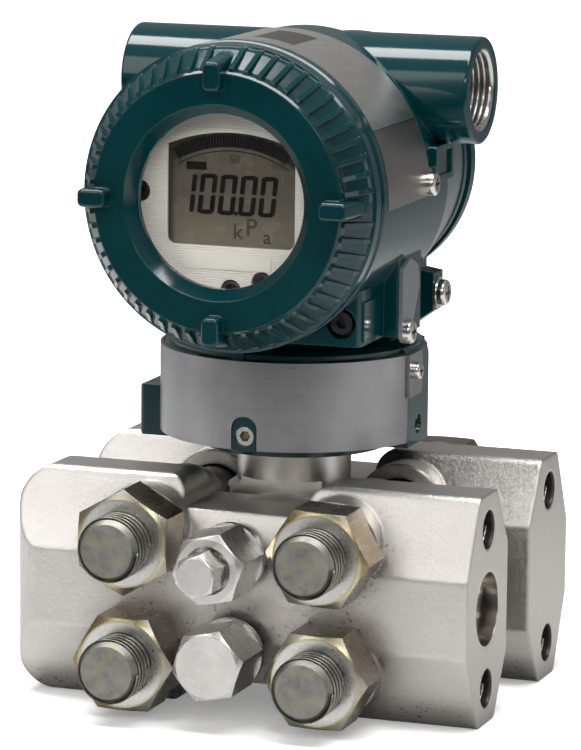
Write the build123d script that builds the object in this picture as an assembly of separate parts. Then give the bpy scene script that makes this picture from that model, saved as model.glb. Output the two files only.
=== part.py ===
from build123d import *
import math
import os

# Gauge pressure transmitter with a flange-mounted capsule and a dial-size display
#
# Working frame: X runs along the conduit tube, the display looks along -Y and Z is up.
# The rotation axis of the electronics housing is X = Y = 0, the process port height is Z = 0.
# On export everything is moved so that the centre of the process connection face is the origin.

# Process flanges
FLANGE_LENGTH = 124.0
FLANGE_HEIGHT = 60.0
FLANGE_DEPTH = 34.0
FLANGE_TOP_DEPTH = 14.0
WAIST_STEP = 7.8
FLANGE_SHOULDER_X = 17.0
PORT_SPACING = 54.0
PORT_BORE_R = 5.9
PORT_RECESS_R = 9.5
PORT_RECESS_DEPTH = 6.0
TAPPED_SPACING = 41.3
TAPPED_R = 5.0
TAPPED_DEPTH = 16.0

# Flange bolting, M16
BOLT_X = 26.1
BOLT_Z = 15.75
BOLT_R = 8.0
BOLT_HOLE_CLEARANCE = 0.5
BOLT_BOSS_R = 12.3
BOLT_TIP = 22.8
NUT_FLATS = 24.0
NUT_HEIGHT = 13.0
HEAD_HEIGHT = 10.0
NUT_TURNS = (30.0, -3.0, 0.0, 0.0)

# Vent and drain plugs
PLUG_Z = 12.4
PLUG_FLATS = 17.0
PLUG_REACH = 20.5
PLUG_HEX = 15.5
PLUG_THREAD_R = 6.7
VENT_HEAD_FLATS = 10.0
VENT_REACH = 28.9
VENT_STEM_R = 3.1

# Capsule and its neck
CAPSULE_R = 22.0
DIAPHRAGM_R = 15.5
GASKET_IN_R = 17.5
GASKET_OUT_R = 20.5
GASKET_THICK = 1.0
NECK_R = 15.0
NECK_TOP = 58.0

# Electronics housing
HOUSING_R = 38.5
HOUSING_FRONT = -45.5
HOUSING_LENGTH = 87.5
COVER_Z = 104.5
REAR_TAPER = 5.2
THREAD_DEPTH = 3.5
THREAD_LENGTH = 12.0
COMPARTMENT_STEP = 1.5
PARTITION = 5.0
PARTITION_FRONT = -13.5
END_RING = 3.0
END_RING_LIP = 0.7
SIDE_BOSS_INSET = 4.1
PAD_RISE = 1.1

# Conduit cross tube, M20 x 1.5 female at both ends
TUBE_R = 13.9
TUBE_LENGTH = 95.0
TUBE_Y = 8.4
TUBE_Z = 127.9
CONDUIT_R = 10.0
CONDUIT_DEPTH = 17.0
ENTRY_CHAMFER = 1.0
CONDUIT_PASSAGE_R = 7.0

# Collar under the housing
COLLAR_R = 34.6
COLLAR_BOTTOM = 37.6
COLLAR_TOP = 61.0
BAND_THICK = 0.8
SET_SCREW_R = 2.5
SET_SCREW_Z = 41.3

# Covers
COVER_LIP = 0.5
COVER_GAP = 1.5
FRONT_COVER_DEPTH = 14.5
REAR_COVER_DEPTH = 8.0
WINDOW_R = 22.0
GLASS_R = 27.0
GLASS_THICK = 5.0
RIB_PLACES = 56
RIB_WIDTH = 1.3
LUG_WIDTH = 4.6
LUG_RISE = 4.15

# Running fit of turning parts and seat of slid-in parts
FIT = 0.05
SEAT = 0.2
DRUM_CLEARANCE = 0.3

# Places worked out from the sizes above
FLANGE_Y = PORT_SPACING / 2
INNER_Y = FLANGE_Y - FLANGE_DEPTH / 2
OUTER_Y = FLANGE_Y + FLANGE_DEPTH / 2
FLANGE_WAIST = FLANGE_HEIGHT - 2 * WAIST_STEP
END_X = FLANGE_LENGTH / 2
HOUSING_REAR = HOUSING_FRONT + HOUSING_LENGTH
REAR_R = HOUSING_R - REAR_TAPER
THREAD_R = HOUSING_R - THREAD_DEPTH
REAR_THREAD_R = REAR_R - THREAD_DEPTH
COMPARTMENT_R = THREAD_R - COMPARTMENT_STEP
REAR_COMPARTMENT_R = REAR_THREAD_R - COMPARTMENT_STEP
PARTITION_REAR = PARTITION_FRONT + PARTITION
TUBE_END = TUBE_LENGTH / 2
BAND_R = COLLAR_R + BAND_THICK
AT_PORT = Pos(-END_X, FLANGE_Y, 0)


# Plain solids between two places on one axis
def bar_x(radius, start, end, y=0.0, z=0.0):
    return Pos((start + end) / 2, y, z) * Rot(0, 90, 0) * Cylinder(radius, abs(end - start))


def bar_y(radius, start, end, x=0.0, z=0.0):
    return Pos(x, (start + end) / 2, z) * Rot(90, 0, 0) * Cylinder(radius, abs(end - start))


def bar_z(radius, start, end, x=0.0, y=0.0):
    return Pos(x, y, (start + end) / 2) * Cylinder(radius, abs(end - start))


def block(x0, x1, y0, y1, z0, z1):
    size = (abs(x1 - x0), abs(y1 - y0), abs(z1 - z0))
    return Pos((x0 + x1) / 2, (y0 + y1) / 2, (z0 + z1) / 2) * Box(*size)


def turned_y(points, z=0.0, x=0.0):
    """Solid of revolution about Y from (radius, y) corners."""
    outline = make_face(Polyline(*points, close=True))
    return Pos(x, 0, z) * revolve(outline, Axis.Y)


def turned_z(points):
    """Solid of revolution about Z from (radius, z) corners."""
    outline = make_face(Plane.XZ * Polyline(*points, close=True))
    return revolve(outline, Axis.Z)


def hexagon_y(flats, start, end, x, z, turn=0.0, bevel_start=True, bevel_end=False):
    """Hexagon prism along Y whose chosen ends are turned down to a round face."""
    corner = flats / math.sqrt(3)
    face_r = flats * 0.475
    drop = (corner - face_r) * math.tan(math.radians(30))
    sign = 1 if end > start else -1
    first = face_r if bevel_start else corner
    last = face_r if bevel_end else corner
    outline = Plane.XZ * RegularPolygon(corner, 6, rotation=turn)
    prism = Pos(0, max(start, end), 0) * extrude(outline, abs(end - start))
    lathe = turned_y(
        [
            (0, start),
            (first, start),
            (corner, start + sign * drop),
            (corner, end - sign * drop),
            (last, end),
            (0, end),
        ]
    )
    return Pos(x, 0, z) * (prism & lathe)


def pan_screw(head_r, head_height, shank_r, length):
    """Cross-recess pan head screw on Z, seated on Z = 0 with its shank below."""
    head = Cylinder(head_r, head_height, align=(Align.CENTER, Align.CENTER, Align.MIN))
    head = fillet(head.edges().sort_by(Axis.Z)[-1], head_height * 0.45)
    slot = Box(head_r * 1.1, head_r * 0.26, head_height)
    cross = Pos(0, 0, head_height) * (slot + Rot(0, 0, 90) * slot)
    shank = Cylinder(shank_r, length, align=(Align.CENTER, Align.CENTER, Align.MAX))
    return head - cross + shank


def socket_screw(radius, length, flats):
    """Headless screw on Z with a hexagon socket, its outer end on Z = 0."""
    body = Cylinder(radius, length, align=(Align.CENTER, Align.CENTER, Align.MAX))
    body = chamfer(body.edges().sort_by(Axis.Z)[0], radius * 0.3)
    socket = extrude(RegularPolygon(flats / math.sqrt(3), 6), -length * 0.45)
    return body - socket


# Process flanges
def flange_outline():
    """Front view of the flange: two full blocks, a lower waist and the bolt bosses."""
    end_length = END_X - FLANGE_SHOULDER_X
    ends = Sketch() + [
        Pos(side * (FLANGE_SHOULDER_X + end_length / 2), 0) * Rectangle(end_length, FLANGE_HEIGHT)
        for side in (-1, 1)
    ]
    outline = ends + Rectangle(2 * FLANGE_SHOULDER_X, FLANGE_WAIST)
    inner = outline.vertices().filter_by_position(Axis.X, -END_X + 1, END_X - 1)
    throat_z = FLANGE_WAIST / 2 + 1
    outline = fillet(inner.filter_by_position(Axis.Y, -throat_z, throat_z), 2.4)
    shoulders = outline.vertices().filter_by_position(Axis.X, -END_X + 1, END_X - 1)
    outline = fillet(shoulders.sort_by(Axis.Y)[:2] + shoulders.sort_by(Axis.Y)[-2:], 5.0)
    return fillet(outline.vertices().sort_by(Axis.X)[:2], 9.0)


def flange_section():
    """End view of the flange, wider at port height, with cast edges."""
    half = FLANGE_DEPTH / 2
    top = FLANGE_TOP_DEPTH / 2
    high = FLANGE_HEIGHT / 2
    outer_knee = high / 3
    inner_knee = high * 0.47
    corners = [
        (top, high),
        (half, inner_knee),
        (half, -inner_knee),
        (top, -high),
        (-top, -high),
        (-half, -outer_knee),
        (-half, outer_knee),
        (-top, high),
    ]
    section = make_face(Polyline(*corners, close=True))
    return fillet(section.vertices(), 2.5)


def flange_casting():
    """Flange body in front of the capsule, with bosses, bolt holes and tapped end holes."""
    length = Pos(-END_X, -FLANGE_Y, 0) * extrude(Plane.YZ * flange_section(), FLANGE_LENGTH)
    front = Pos(0, -INNER_Y, 0) * extrude(Plane.XZ * flange_outline(), FLANGE_DEPTH)
    plan = Rectangle(FLANGE_LENGTH, FLANGE_DEPTH)
    plan = fillet(plan.vertices().sort_by(Axis.X)[:2], 7.0)
    above = Pos(0, -FLANGE_Y, -FLANGE_HEIGHT / 2) * extrude(plan, FLANGE_HEIGHT)
    body = length & front & above
    seats = [
        bar_y(BOLT_BOSS_R, -OUTER_Y, -INNER_Y, x, z)
        for x in (-BOLT_X, BOLT_X)
        for z in (-BOLT_Z, BOLT_Z)
    ]
    body += seats
    body += bar_y(FLANGE_WAIST / 2, -FLANGE_Y, -INNER_Y)
    holes = [
        bar_y(BOLT_R + BOLT_HOLE_CLEARANCE, -OUTER_Y - 1, -INNER_Y + 1, x, z)
        for x in (-BOLT_X, BOLT_X)
        for z in (-BOLT_Z, BOLT_Z)
    ]
    body -= holes
    for z in (-TAPPED_SPACING / 2, TAPPED_SPACING / 2):
        body -= bar_x(TAPPED_R, END_X - TAPPED_DEPTH, END_X + 1, -FLANGE_Y, z)
        body -= Pos(END_X, -FLANGE_Y, z) * Rot(0, 90, 0) * Cone(
            TAPPED_R - 0.6, TAPPED_R + 0.6, 1.2
        )
    chamber = bar_y(DIAPHRAGM_R, -INNER_Y - 2, -INNER_Y)
    ring = bar_y(GASKET_OUT_R, -INNER_Y - GASKET_THICK, -INNER_Y)
    ring -= bar_y(GASKET_IN_R, -INNER_Y - GASKET_THICK, -INNER_Y)
    return body - chamber - ring


def front_cover_flange():
    body = flange_casting()
    recess_x = END_X - PORT_RECESS_DEPTH
    body -= bar_x(PORT_RECESS_R, recess_x, END_X, -FLANGE_Y)
    body -= bar_x(PORT_BORE_R, END_X / 2, recess_x, -FLANGE_Y)
    body -= bar_x(3.0, 0, END_X / 2, -FLANGE_Y)
    body -= bar_y(3.0, -FLANGE_Y, -INNER_Y - 1)
    for z in (-PLUG_Z, PLUG_Z):
        body -= bar_y(PLUG_THREAD_R + FIT, -OUTER_Y, -OUTER_Y + 13, 0, z)
        body -= bar_y(2.5, -OUTER_Y + 12, -INNER_Y - 1, 0, z * 0.97)
    return body


def rear_cover_flange():
    body = mirror(flange_casting(), Plane.XZ)
    body -= bar_y(2.5, INNER_Y, OUTER_Y + 1)
    return body


def flange_bolts():
    bolts = []
    for x in (-BOLT_X, BOLT_X):
        for z in (-BOLT_Z, BOLT_Z):
            head = hexagon_y(NUT_FLATS, OUTER_Y + HEAD_HEIGHT, OUTER_Y, x, z)
            tip = -OUTER_Y - BOLT_TIP
            shank = turned_y(
                [(0, tip), (BOLT_R - 1.2, tip), (BOLT_R, tip + 1.6), (BOLT_R, OUTER_Y), (0, OUTER_Y)],
                z,
                x,
            )
            bolts.append(head + shank)
    return Compound(children=[bolt.solids()[0] for bolt in bolts])


def flange_nuts():
    nuts = []
    places = [(-BOLT_X, BOLT_Z), (BOLT_X, BOLT_Z), (-BOLT_X, -BOLT_Z), (BOLT_X, -BOLT_Z)]
    for turn, (x, z) in zip(NUT_TURNS, places):
        nut = hexagon_y(NUT_FLATS, -OUTER_Y - NUT_HEIGHT, -OUTER_Y, x, z, turn)
        nut -= bar_y(BOLT_R + FIT, -OUTER_Y - NUT_HEIGHT - 1, -OUTER_Y + 1, x, z)
        nuts.append(nut)
    return Compound(children=[nut.solids()[0] for nut in nuts])


def plug(z):
    """Hexagon plug with a round seat and a pipe thread, screwed into the front flange."""
    front = -OUTER_Y - PLUG_REACH
    back = front + PLUG_HEX
    body = hexagon_y(PLUG_FLATS, front, back, 0, z, 12.0)
    body += bar_y(PLUG_FLATS * 0.54, back, back + 2.0, 0, z)
    body += bar_y(PLUG_THREAD_R, back, -OUTER_Y + 12, 0, z)
    return body


def vent_plug():
    front = -OUTER_Y - PLUG_REACH
    body = plug(PLUG_Z)
    body -= bar_y(PLUG_FLATS * 0.36, front, front + 5, 0, PLUG_Z)
    body -= bar_y(VENT_STEM_R + FIT, front, -OUTER_Y + 4, 0, PLUG_Z)
    body -= bar_y(1.2, front, -OUTER_Y + 13, 0, PLUG_Z)
    return body


def drain_plug():
    return plug(-PLUG_Z)


def vent_screw():
    head_front = -OUTER_Y - VENT_REACH
    head_back = head_front + 8.0
    body = hexagon_y(VENT_HEAD_FLATS, head_front, head_back, 0, PLUG_Z, 20.0)
    stem_end = -OUTER_Y - 1
    stem = turned_y(
        [(0, head_back), (VENT_STEM_R, head_back), (VENT_STEM_R, stem_end), (0, stem_end + 3)],
        PLUG_Z,
    )
    return body + stem


# Capsule between the flanges
def sensor_capsule():
    side = CAPSULE_R + 8
    body = bar_y(CAPSULE_R, -INNER_Y, INNER_Y)
    body += turned_z(
        [
            (0, 0),
            (NECK_R + 2.5, 0),
            (NECK_R + 2.5, CAPSULE_R + 0.8),
            (NECK_R, CAPSULE_R + 2.5),
            (NECK_R, NECK_TOP - 1),
            (NECK_R - 1, NECK_TOP),
            (0, NECK_TOP),
        ]
    ) & block(-side, side, -INNER_Y - 8, INNER_Y + 8, 12, NECK_TOP)
    for y in (-INNER_Y, INNER_Y):
        body -= bar_y(DIAPHRAGM_R, y - 0.8, y + 0.8)
        outside = 1 if y > 0 else -1
        body -= block(-side, side, y, y + outside * 12, 0, CAPSULE_R + 4)
    groove = bar_z(NECK_R + 1, SET_SCREW_Z - 3.2, SET_SCREW_Z + 3.2)
    body -= groove - bar_z(NECK_R - 0.8, SET_SCREW_Z - 4, SET_SCREW_Z + 4)
    ring = bar_z(NECK_R + 1, NECK_TOP - 8.4, NECK_TOP - 5.6)
    body -= ring - bar_z(NECK_R - 2.6, NECK_TOP - 9, NECK_TOP - 5)
    return body


def isolating_diaphragms():
    """Two thin corrugated discs, each on the floor of its pocket."""
    discs = []
    pocket = INNER_Y - 0.8
    rim = DIAPHRAGM_R - 0.1
    face = [(rim, pocket), (rim, pocket + 0.3)]
    back = [(rim - 1.5, pocket)]
    for step in range(5):
        radius = (rim - 1.5) * (1 - step / 5)
        lift = 0.5 if step % 2 else 0.2
        face.append((radius, pocket + lift + 0.2))
        back.append((radius, pocket + lift))
    face.append((0, pocket + 0.45))
    back.append((0, pocket + 0.25))
    disc = turned_y(face + back[::-1])
    discs.append(disc)
    discs.append(mirror(disc, Plane.XZ))
    return Compound(children=[item.solids()[0] for item in discs])


def flange_gaskets():
    rings = []
    for side in (-1, 1):
        ring = bar_y(GASKET_OUT_R, side * INNER_Y, side * (INNER_Y + GASKET_THICK))
        ring -= bar_y(GASKET_IN_R, side * INNER_Y, side * (INNER_Y + GASKET_THICK))
        rings.append(ring)
    return Compound(children=[item.solids()[0] for item in rings])


def neck_o_ring():
    return Pos(0, 0, NECK_TOP - 7) * Torus(NECK_R - 1.35, 1.25)


# Electronics housing
SADDLE_X = 30.5
SADDLE_LEFT_X = -21.5
SADDLE_FRONT = -38.0
SADDLE_REAR = 18.0
SADDLE_BOTTOM = 66.8
SADDLE_NECK_R = 27.0
SIDE_BOSS_X = HOUSING_R - SIDE_BOSS_INSET
SIDE_BOSS_FRONT = -18.8
SIDE_BOSS_REAR = 0.0
LOCK_PLACES = ((1, SADDLE_FRONT, 25.6), (-1, SADDLE_REAR, -14.0))
LOCK_Z = 72.7
LOCK_RECESS_R = 3.9
LOCK_DEPTH = 3.0
LUG_X = SIDE_BOSS_X
LUG_FRONT = 10.0
LUG_TOP = 79.3
FLAT_X = 34.0
FLAT_Y = 8.4
FLAT_TOP = 63.0
SIDE_LUG_X = 41.0
SIDE_LUG_Y = 7.5
ZERO_SCREW_Y = -11.0
ZERO_SCREW_Z = 77.0
ZERO_SCREW_R = 2.5
PLATE_SCREW_Y = -15.4
PLATE_SCREW_Z = 68.0
GROUND_Y = 13.0
GROUND_Z = 74.0
NOTCH_X = -1.2
BAND_SCREW_Y = -5.5
BAND_SCREW_Z = 56.2
STRAP_THICK = 0.8
STRAP_FRONT = HOUSING_FRONT + END_RING + 0.2
STRAP_REAR = -9.4
STRAP_TAB_Y = -9.6
STRAP_SCREW_ANGLE = 1.5
STRAP_TAB_R = 4.2
TUBE_EDGE = 0.8
PAD_X = HOUSING_R + PAD_RISE
PAD_FRONT = STRAP_TAB_Y + STRAP_TAB_R + SEAT + 0.1
PAD_REAR = 9.5
PAD_BOTTOM = COVER_Z + 0.5
PAD_TOP = COVER_Z + 10


def drum():
    """Drum with a raised ring at each mouth, drawn in towards the terminal side."""
    front = HOUSING_FRONT
    rear = HOUSING_REAR
    front_ring = HOUSING_R + END_RING_LIP
    return turned_y(
        [
            (0, front),
            (front_ring - 0.6, front),
            (front_ring, front + 0.6),
            (front_ring, front + END_RING),
            (HOUSING_R, front + END_RING),
            (HOUSING_R, TUBE_Y),
            (REAR_R, rear - END_RING),
            (REAR_R, rear - 0.6),
            (REAR_R - 0.6, rear),
            (0, rear),
        ],
        COVER_Z,
    )


def saddle():
    """Squared foot between drum and collar with the lug and bosses of its right side."""
    foot = block(SADDLE_LEFT_X, SADDLE_X, SADDLE_FRONT, SADDLE_REAR, SADDLE_BOTTOM, COVER_Z)
    upright = foot.edges().filter_by(Axis.Z)
    foot = fillet(upright, 2.0)
    boss = block(0, SIDE_BOSS_X, SIDE_BOSS_FRONT, SIDE_BOSS_REAR, SADDLE_BOTTOM, COVER_Z)
    boss = fillet(boss.edges().filter_by(Axis.Z).sort_by(Axis.X)[-2:], 0.8)
    pad = block(0, SADDLE_X + 0.5, SADDLE_FRONT + 2.4, SIDE_BOSS_FRONT - 4, SADDLE_BOTTOM + 1, 78)
    lug_face = Polyline(
        (SADDLE_X - 8, SADDLE_BOTTOM - 1.5),
        (SADDLE_X - 2, SADDLE_BOTTOM - 1.5),
        (LUG_X, GROUND_Z - 4.5),
        (LUG_X, LUG_TOP),
        (SADDLE_X - 8, LUG_TOP + 2),
        close=True,
    )
    lug = Pos(0, SADDLE_REAR, 0) * extrude(Plane.XZ * make_face(lug_face), SADDLE_REAR - LUG_FRONT)
    neck = turned_z(
        [
            (0, COLLAR_TOP - 1),
            (COLLAR_R - 1.5, COLLAR_TOP - 1),
            (COLLAR_R - 1.5, COLLAR_TOP + 1.2),
            (COLLAR_R - 3.5, COLLAR_TOP + 2.2),
            (SADDLE_NECK_R + 1.5, COLLAR_TOP + 2.2),
            (SADDLE_NECK_R, COLLAR_TOP + 3.5),
            (SADDLE_NECK_R, COVER_Z - 20),
            (0, COVER_Z - 20),
        ]
    )
    neck &= block(-40, 40, -40, SADDLE_REAR, COLLAR_TOP - 1, COVER_Z) + block(
        -40, 40, -40, 40, COLLAR_TOP - 1, COLLAR_TOP + 2.2
    )
    return foot + boss + pad + lug + neck


def collar():
    """Round collar with a flat on its right, a lug on its left and a boss in front."""
    ring = turned_z(
        [
            (0, COLLAR_BOTTOM - 3.2),
            (24.5, COLLAR_BOTTOM - 3.2),
            (24.5, COLLAR_BOTTOM),
            (COLLAR_R - 0.8, COLLAR_BOTTOM),
            (COLLAR_R, COLLAR_BOTTOM + 0.8),
            (COLLAR_R, COLLAR_TOP - 0.5),
            (COLLAR_R - 0.5, COLLAR_TOP),
            (0, COLLAR_TOP),
        ]
    )
    right = block(20, FLAT_X, -FLAT_Y, FLAT_Y, COLLAR_BOTTOM - 1.5, FLAT_TOP)
    right = fillet(right.edges().filter_by(Axis.Y).sort_by(Axis.X)[-2:].sort_by(Axis.Z)[-1], 4.5)
    ring -= block(FLAT_X, FLAT_X + 5, -2 * FLAT_Y, 2 * FLAT_Y, COLLAR_BOTTOM - 5, FLAT_TOP)
    left = block(-SIDE_LUG_X, -20, -SIDE_LUG_Y, SIDE_LUG_Y, COLLAR_BOTTOM - 3.2, 48.0)
    left = chamfer(left.edges().filter_by(Axis.Y).sort_by(Axis.X)[:2], 0.8)
    left = fillet(left.edges().filter_by(Axis.Z).sort_by(Axis.X)[:2], 1.5)
    front = block(NOTCH_X - 3.2, NOTCH_X + 3.2, -BAND_R + 0.4, -20, COLLAR_BOTTOM, 46.2)
    front = fillet(front.edges().filter_by(Axis.Y).sort_by(Axis.Z)[-2:], 3.0)
    rib = block(-4.9, -1.9, -COLLAR_R + 0.6, -20, COLLAR_TOP - 1, COLLAR_TOP + 2.0)
    return ring + right + left + front + rib


def housing():
    body = drum() + saddle() + collar()
    tube = bar_x(TUBE_R, -TUBE_END, TUBE_END, TUBE_Y, TUBE_Z)
    body += fillet(tube.edges().filter_by(GeomType.CIRCLE), TUBE_EDGE)
    pad = block(SIDE_BOSS_X, PAD_X, PAD_FRONT, PAD_REAR, PAD_BOTTOM, PAD_TOP)
    body += fillet(pad.edges().filter_by(Axis.X), 1.0)
    body -= block(PAD_X - 0.7, PAD_X + 1, PAD_FRONT + 1.8, PAD_REAR - 1.8, PAD_BOTTOM + 1.7, PAD_TOP - 1.6)
    # Compartments and cover threads
    body -= bar_y(THREAD_R, HOUSING_FRONT - 1, HOUSING_FRONT + THREAD_LENGTH, 0, COVER_Z)
    body -= bar_y(REAR_THREAD_R, HOUSING_REAR - THREAD_LENGTH, HOUSING_REAR + 1, 0, COVER_Z)
    body -= bar_y(COMPARTMENT_R, HOUSING_FRONT, PARTITION_FRONT, 0, COVER_Z)
    body -= bar_y(REAR_COMPARTMENT_R, PARTITION_REAR, HOUSING_REAR, 0, COVER_Z)
    # Conduit entries
    for side in (-1, 1):
        end = side * TUBE_END
        body -= bar_x(CONDUIT_R, end - side * CONDUIT_DEPTH, end + side, TUBE_Y, TUBE_Z)
        body -= bar_x(CONDUIT_PASSAGE_R, 0, end, TUBE_Y, TUBE_Z)
        mouth = Cone(CONDUIT_R - ENTRY_CHAMFER, CONDUIT_R + ENTRY_CHAMFER, 2 * ENTRY_CHAMFER)
        body -= Pos(end - side * ENTRY_CHAMFER, TUBE_Y, TUBE_Z) * Rot(0, side * 90, 0) * mouth
    # Bore for the capsule neck, cable way and set screw holes
    body -= bar_z(NECK_R + FIT, COLLAR_BOTTOM - 4, NECK_TOP + 1)
    body -= bar_z(8.0, NECK_TOP, COVER_Z - COMPARTMENT_R + 4, 0, -22 + 8)
    body -= bar_y(SET_SCREW_R + FIT, -BAND_R - 1, 0, NOTCH_X, SET_SCREW_Z)
    body -= bar_x(SET_SCREW_R + FIT, 0, FLAT_X + 1, 0, SET_SCREW_Z)
    # Recesses of the cover locks, zero adjustment and screw holes of the right side
    for side, face, x in LOCK_PLACES:
        body -= bar_y(LOCK_RECESS_R, face - side, face + side * LOCK_DEPTH, x, LOCK_Z)
        body -= bar_y(2.0, face, face + side * (LOCK_DEPTH + 7), x, LOCK_Z)
    body -= bar_x(ZERO_SCREW_R + FIT, SIDE_BOSS_X - 6, SIDE_BOSS_X, ZERO_SCREW_Y, ZERO_SCREW_Z)
    body -= bar_x(2.0, SIDE_BOSS_X - 6, SIDE_BOSS_X, PLATE_SCREW_Y, PLATE_SCREW_Z)
    body -= bar_x(2.0, LUG_X - 6, LUG_X, GROUND_Y, GROUND_Z)
    body -= bar_x(1.5, FLAT_X - 5, FLAT_X, BAND_SCREW_Y, BAND_SCREW_Z)
    body -= strap_screw_place() * Cylinder(1.5, 5, align=(Align.CENTER, Align.CENTER, Align.MAX))
    for x, z in TERMINAL_FIXINGS:
        body -= bar_y(1.5, PARTITION_REAR - 3.5, PARTITION_REAR, x, z)
    for x, z in STANDOFF_PLACES:
        body -= bar_y(1.5, PARTITION_FRONT, PARTITION_FRONT + 3.5, x, z)
    return body


def collar_band():
    """Stainless band round the collar, cut away at the front boss and at the right flat."""
    low = COLLAR_BOTTOM + 0.2
    high = COLLAR_TOP - 0.2
    band = bar_z(BAND_R, low, high) - bar_z(COLLAR_R, low, high)
    band -= block(FLAT_X - 12, FLAT_X + 6, -FLAT_Y - 0.2, FLAT_Y + 12, low - 1, high + 1)
    band -= block(FLAT_X, FLAT_X + 6, -2 * FLAT_Y, 2 * FLAT_Y, low - 1, high + 1)
    notch = block(NOTCH_X - 3.5, NOTCH_X + 3.5, -BAND_R - 2, -20, low - 2, 46.5)
    notch = fillet(notch.edges().filter_by(Axis.Y).sort_by(Axis.Z)[-2:], 3.3)
    band -= notch
    band -= block(-BAND_R - 2, -20, -SIDE_LUG_Y - 0.3, SIDE_LUG_Y + 0.3, low - 1, 48.3)
    tab = block(FLAT_X, FLAT_X + BAND_THICK, -FLAT_Y - 1.5, 0.8, 49.6, high)
    tab = fillet(tab.edges().filter_by(Axis.X).sort_by(Axis.Y)[-2:], 1.5)
    band += tab & bar_z(BAND_R + 1.2, low, high)
    band -= bar_x(1.7, FLAT_X - 1, FLAT_X + 2, BAND_SCREW_Y, BAND_SCREW_Z)
    return band


def strap_screw_place():
    """Frame on the strap surface at its screw, Z pointing outwards."""
    return Pos(0, STRAP_TAB_Y, COVER_Z) * Rot(0, 90 - STRAP_SCREW_ANGLE, 0) * Pos(0, 0, HOUSING_R)


def tag_plate():
    """Strap that follows the drum from just left of its top to its right side."""
    outer = HOUSING_R + STRAP_THICK
    sheet = bar_y(outer, STRAP_FRONT, STRAP_REAR, 0, COVER_Z)
    tab = strap_screw_place() * Cylinder(STRAP_TAB_R, 4)
    sheet += tab & bar_y(outer, STRAP_FRONT, STRAP_REAR + 8, 0, COVER_Z)
    sheet -= bar_y(HOUSING_R, STRAP_FRONT - 1, STRAP_REAR + 9, 0, COVER_Z)
    span = []
    for angle in range(-3, 100, 17):
        turn = math.radians(angle)
        span.append((80 * math.cos(turn), 80 * math.sin(turn)))
    wedge = make_face(Polyline((0, 0), *span, close=True))
    keep = Pos(0, STRAP_REAR + 9, COVER_Z) * extrude(Plane.XZ * wedge, 60)
    sheet = sheet & keep
    return sheet - strap_screw_place() * Cylinder(1.8, 6)


def zero_screw_cover():
    """Teardrop plate that swings about its lower screw."""
    outline = Polyline((-18.5, 66.9), (-18.5, 84.0), (-12.5, 86.6), (-5.8, 84.0), (-4.6, 78.5),
                       (-8.8, 71.0), (-12.0, 66.9), close=True)
    plate = fillet(make_face(outline).vertices(), 2.2)
    lower = Pos(PLATE_SCREW_Y, PLATE_SCREW_Z) * Circle(3.1)
    plate = Plane.YZ * (plate + lower - Pos(PLATE_SCREW_Y, PLATE_SCREW_Z) * Circle(2.1))
    plate = Pos(SIDE_BOSS_X + FIT, 0, 0) * extrude(plate, 1.0)
    return plate - bar_y(HOUSING_R + DRUM_CLEARANCE, SIDE_BOSS_FRONT, SIDE_BOSS_REAR, 0, COVER_Z)


def zero_cover_screw():
    screw = pan_screw(3.1, 2.2, 2.0, 6.5)
    return Pos(SIDE_BOSS_X + 1.0 + 2 * FIT, PLATE_SCREW_Y, PLATE_SCREW_Z) * Rot(0, 90, 0) * screw


def zero_adjust_screw():
    body = bar_x(ZERO_SCREW_R, SIDE_BOSS_X - 5.7, SIDE_BOSS_X - 0.3, ZERO_SCREW_Y, ZERO_SCREW_Z)
    slot = block(SIDE_BOSS_X - 1.5, SIDE_BOSS_X, ZERO_SCREW_Y - 4, ZERO_SCREW_Y + 4,
                 ZERO_SCREW_Z - 0.4, ZERO_SCREW_Z + 0.4)
    return body - slot


def ground_washer():
    ring = bar_x(4.1, LUG_X, LUG_X + 0.8, GROUND_Y, GROUND_Z)
    return ring - bar_x(2.1, LUG_X, LUG_X + 0.8, GROUND_Y, GROUND_Z)


def ground_screw():
    return Pos(LUG_X + 0.8, GROUND_Y, GROUND_Z) * Rot(0, 90, 0) * pan_screw(3.5, 2.4, 2.0, 6.5)


def band_screw():
    seat = Pos(FLAT_X + BAND_THICK, BAND_SCREW_Y, BAND_SCREW_Z) * Rot(0, 90, 0)
    return seat * pan_screw(2.3, 1.8, 1.5, 5)


def tag_plate_screw():
    return strap_screw_place() * Pos(0, 0, STRAP_THICK) * pan_screw(3.1, 2.2, 1.5, 5)


def set_screws():
    screw = socket_screw(SET_SCREW_R, 16.0, 2.6)
    front = Pos(NOTCH_X, -BAND_R + 1.0, SET_SCREW_Z) * Rot(90, 0, 0) * screw
    right = Pos(FLAT_X - 0.6, 0, SET_SCREW_Z) * Rot(0, 90, 0) * screw
    return Compound(children=[front, right])


def cover_lock_screws():
    screws = []
    for side, face, x in LOCK_PLACES:
        head_seat = face + side * LOCK_DEPTH
        head = bar_y(2.9, head_seat, head_seat - side * 2.4, x, LOCK_Z)
        socket = hexagon_y(2.6, head_seat - side * 2.5, head_seat - side, x, LOCK_Z)
        shank = bar_y(2.0 - FIT, head_seat, head_seat + side * 6, x, LOCK_Z)
        screws.append(head - socket + shank)
    return Compound(children=[item.solids()[0] for item in screws])


# Covers
COVER_BACK = -COVER_GAP
RIM_FRONT = COVER_BACK - 3.6
SKIRT_END = 9.0
GLASS_SEAT = -FRONT_COVER_DEPTH + 5.5
GLASS_BACK = GLASS_SEAT + 0.5 + GLASS_THICK
RETAINER_BACK = GLASS_BACK + 1.4
AT_FRONT_MOUTH = Pos(0, HOUSING_FRONT, COVER_Z)
AT_REAR_MOUTH = Pos(0, HOUSING_REAR, COVER_Z) * Rot(0, 0, 180)


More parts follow.
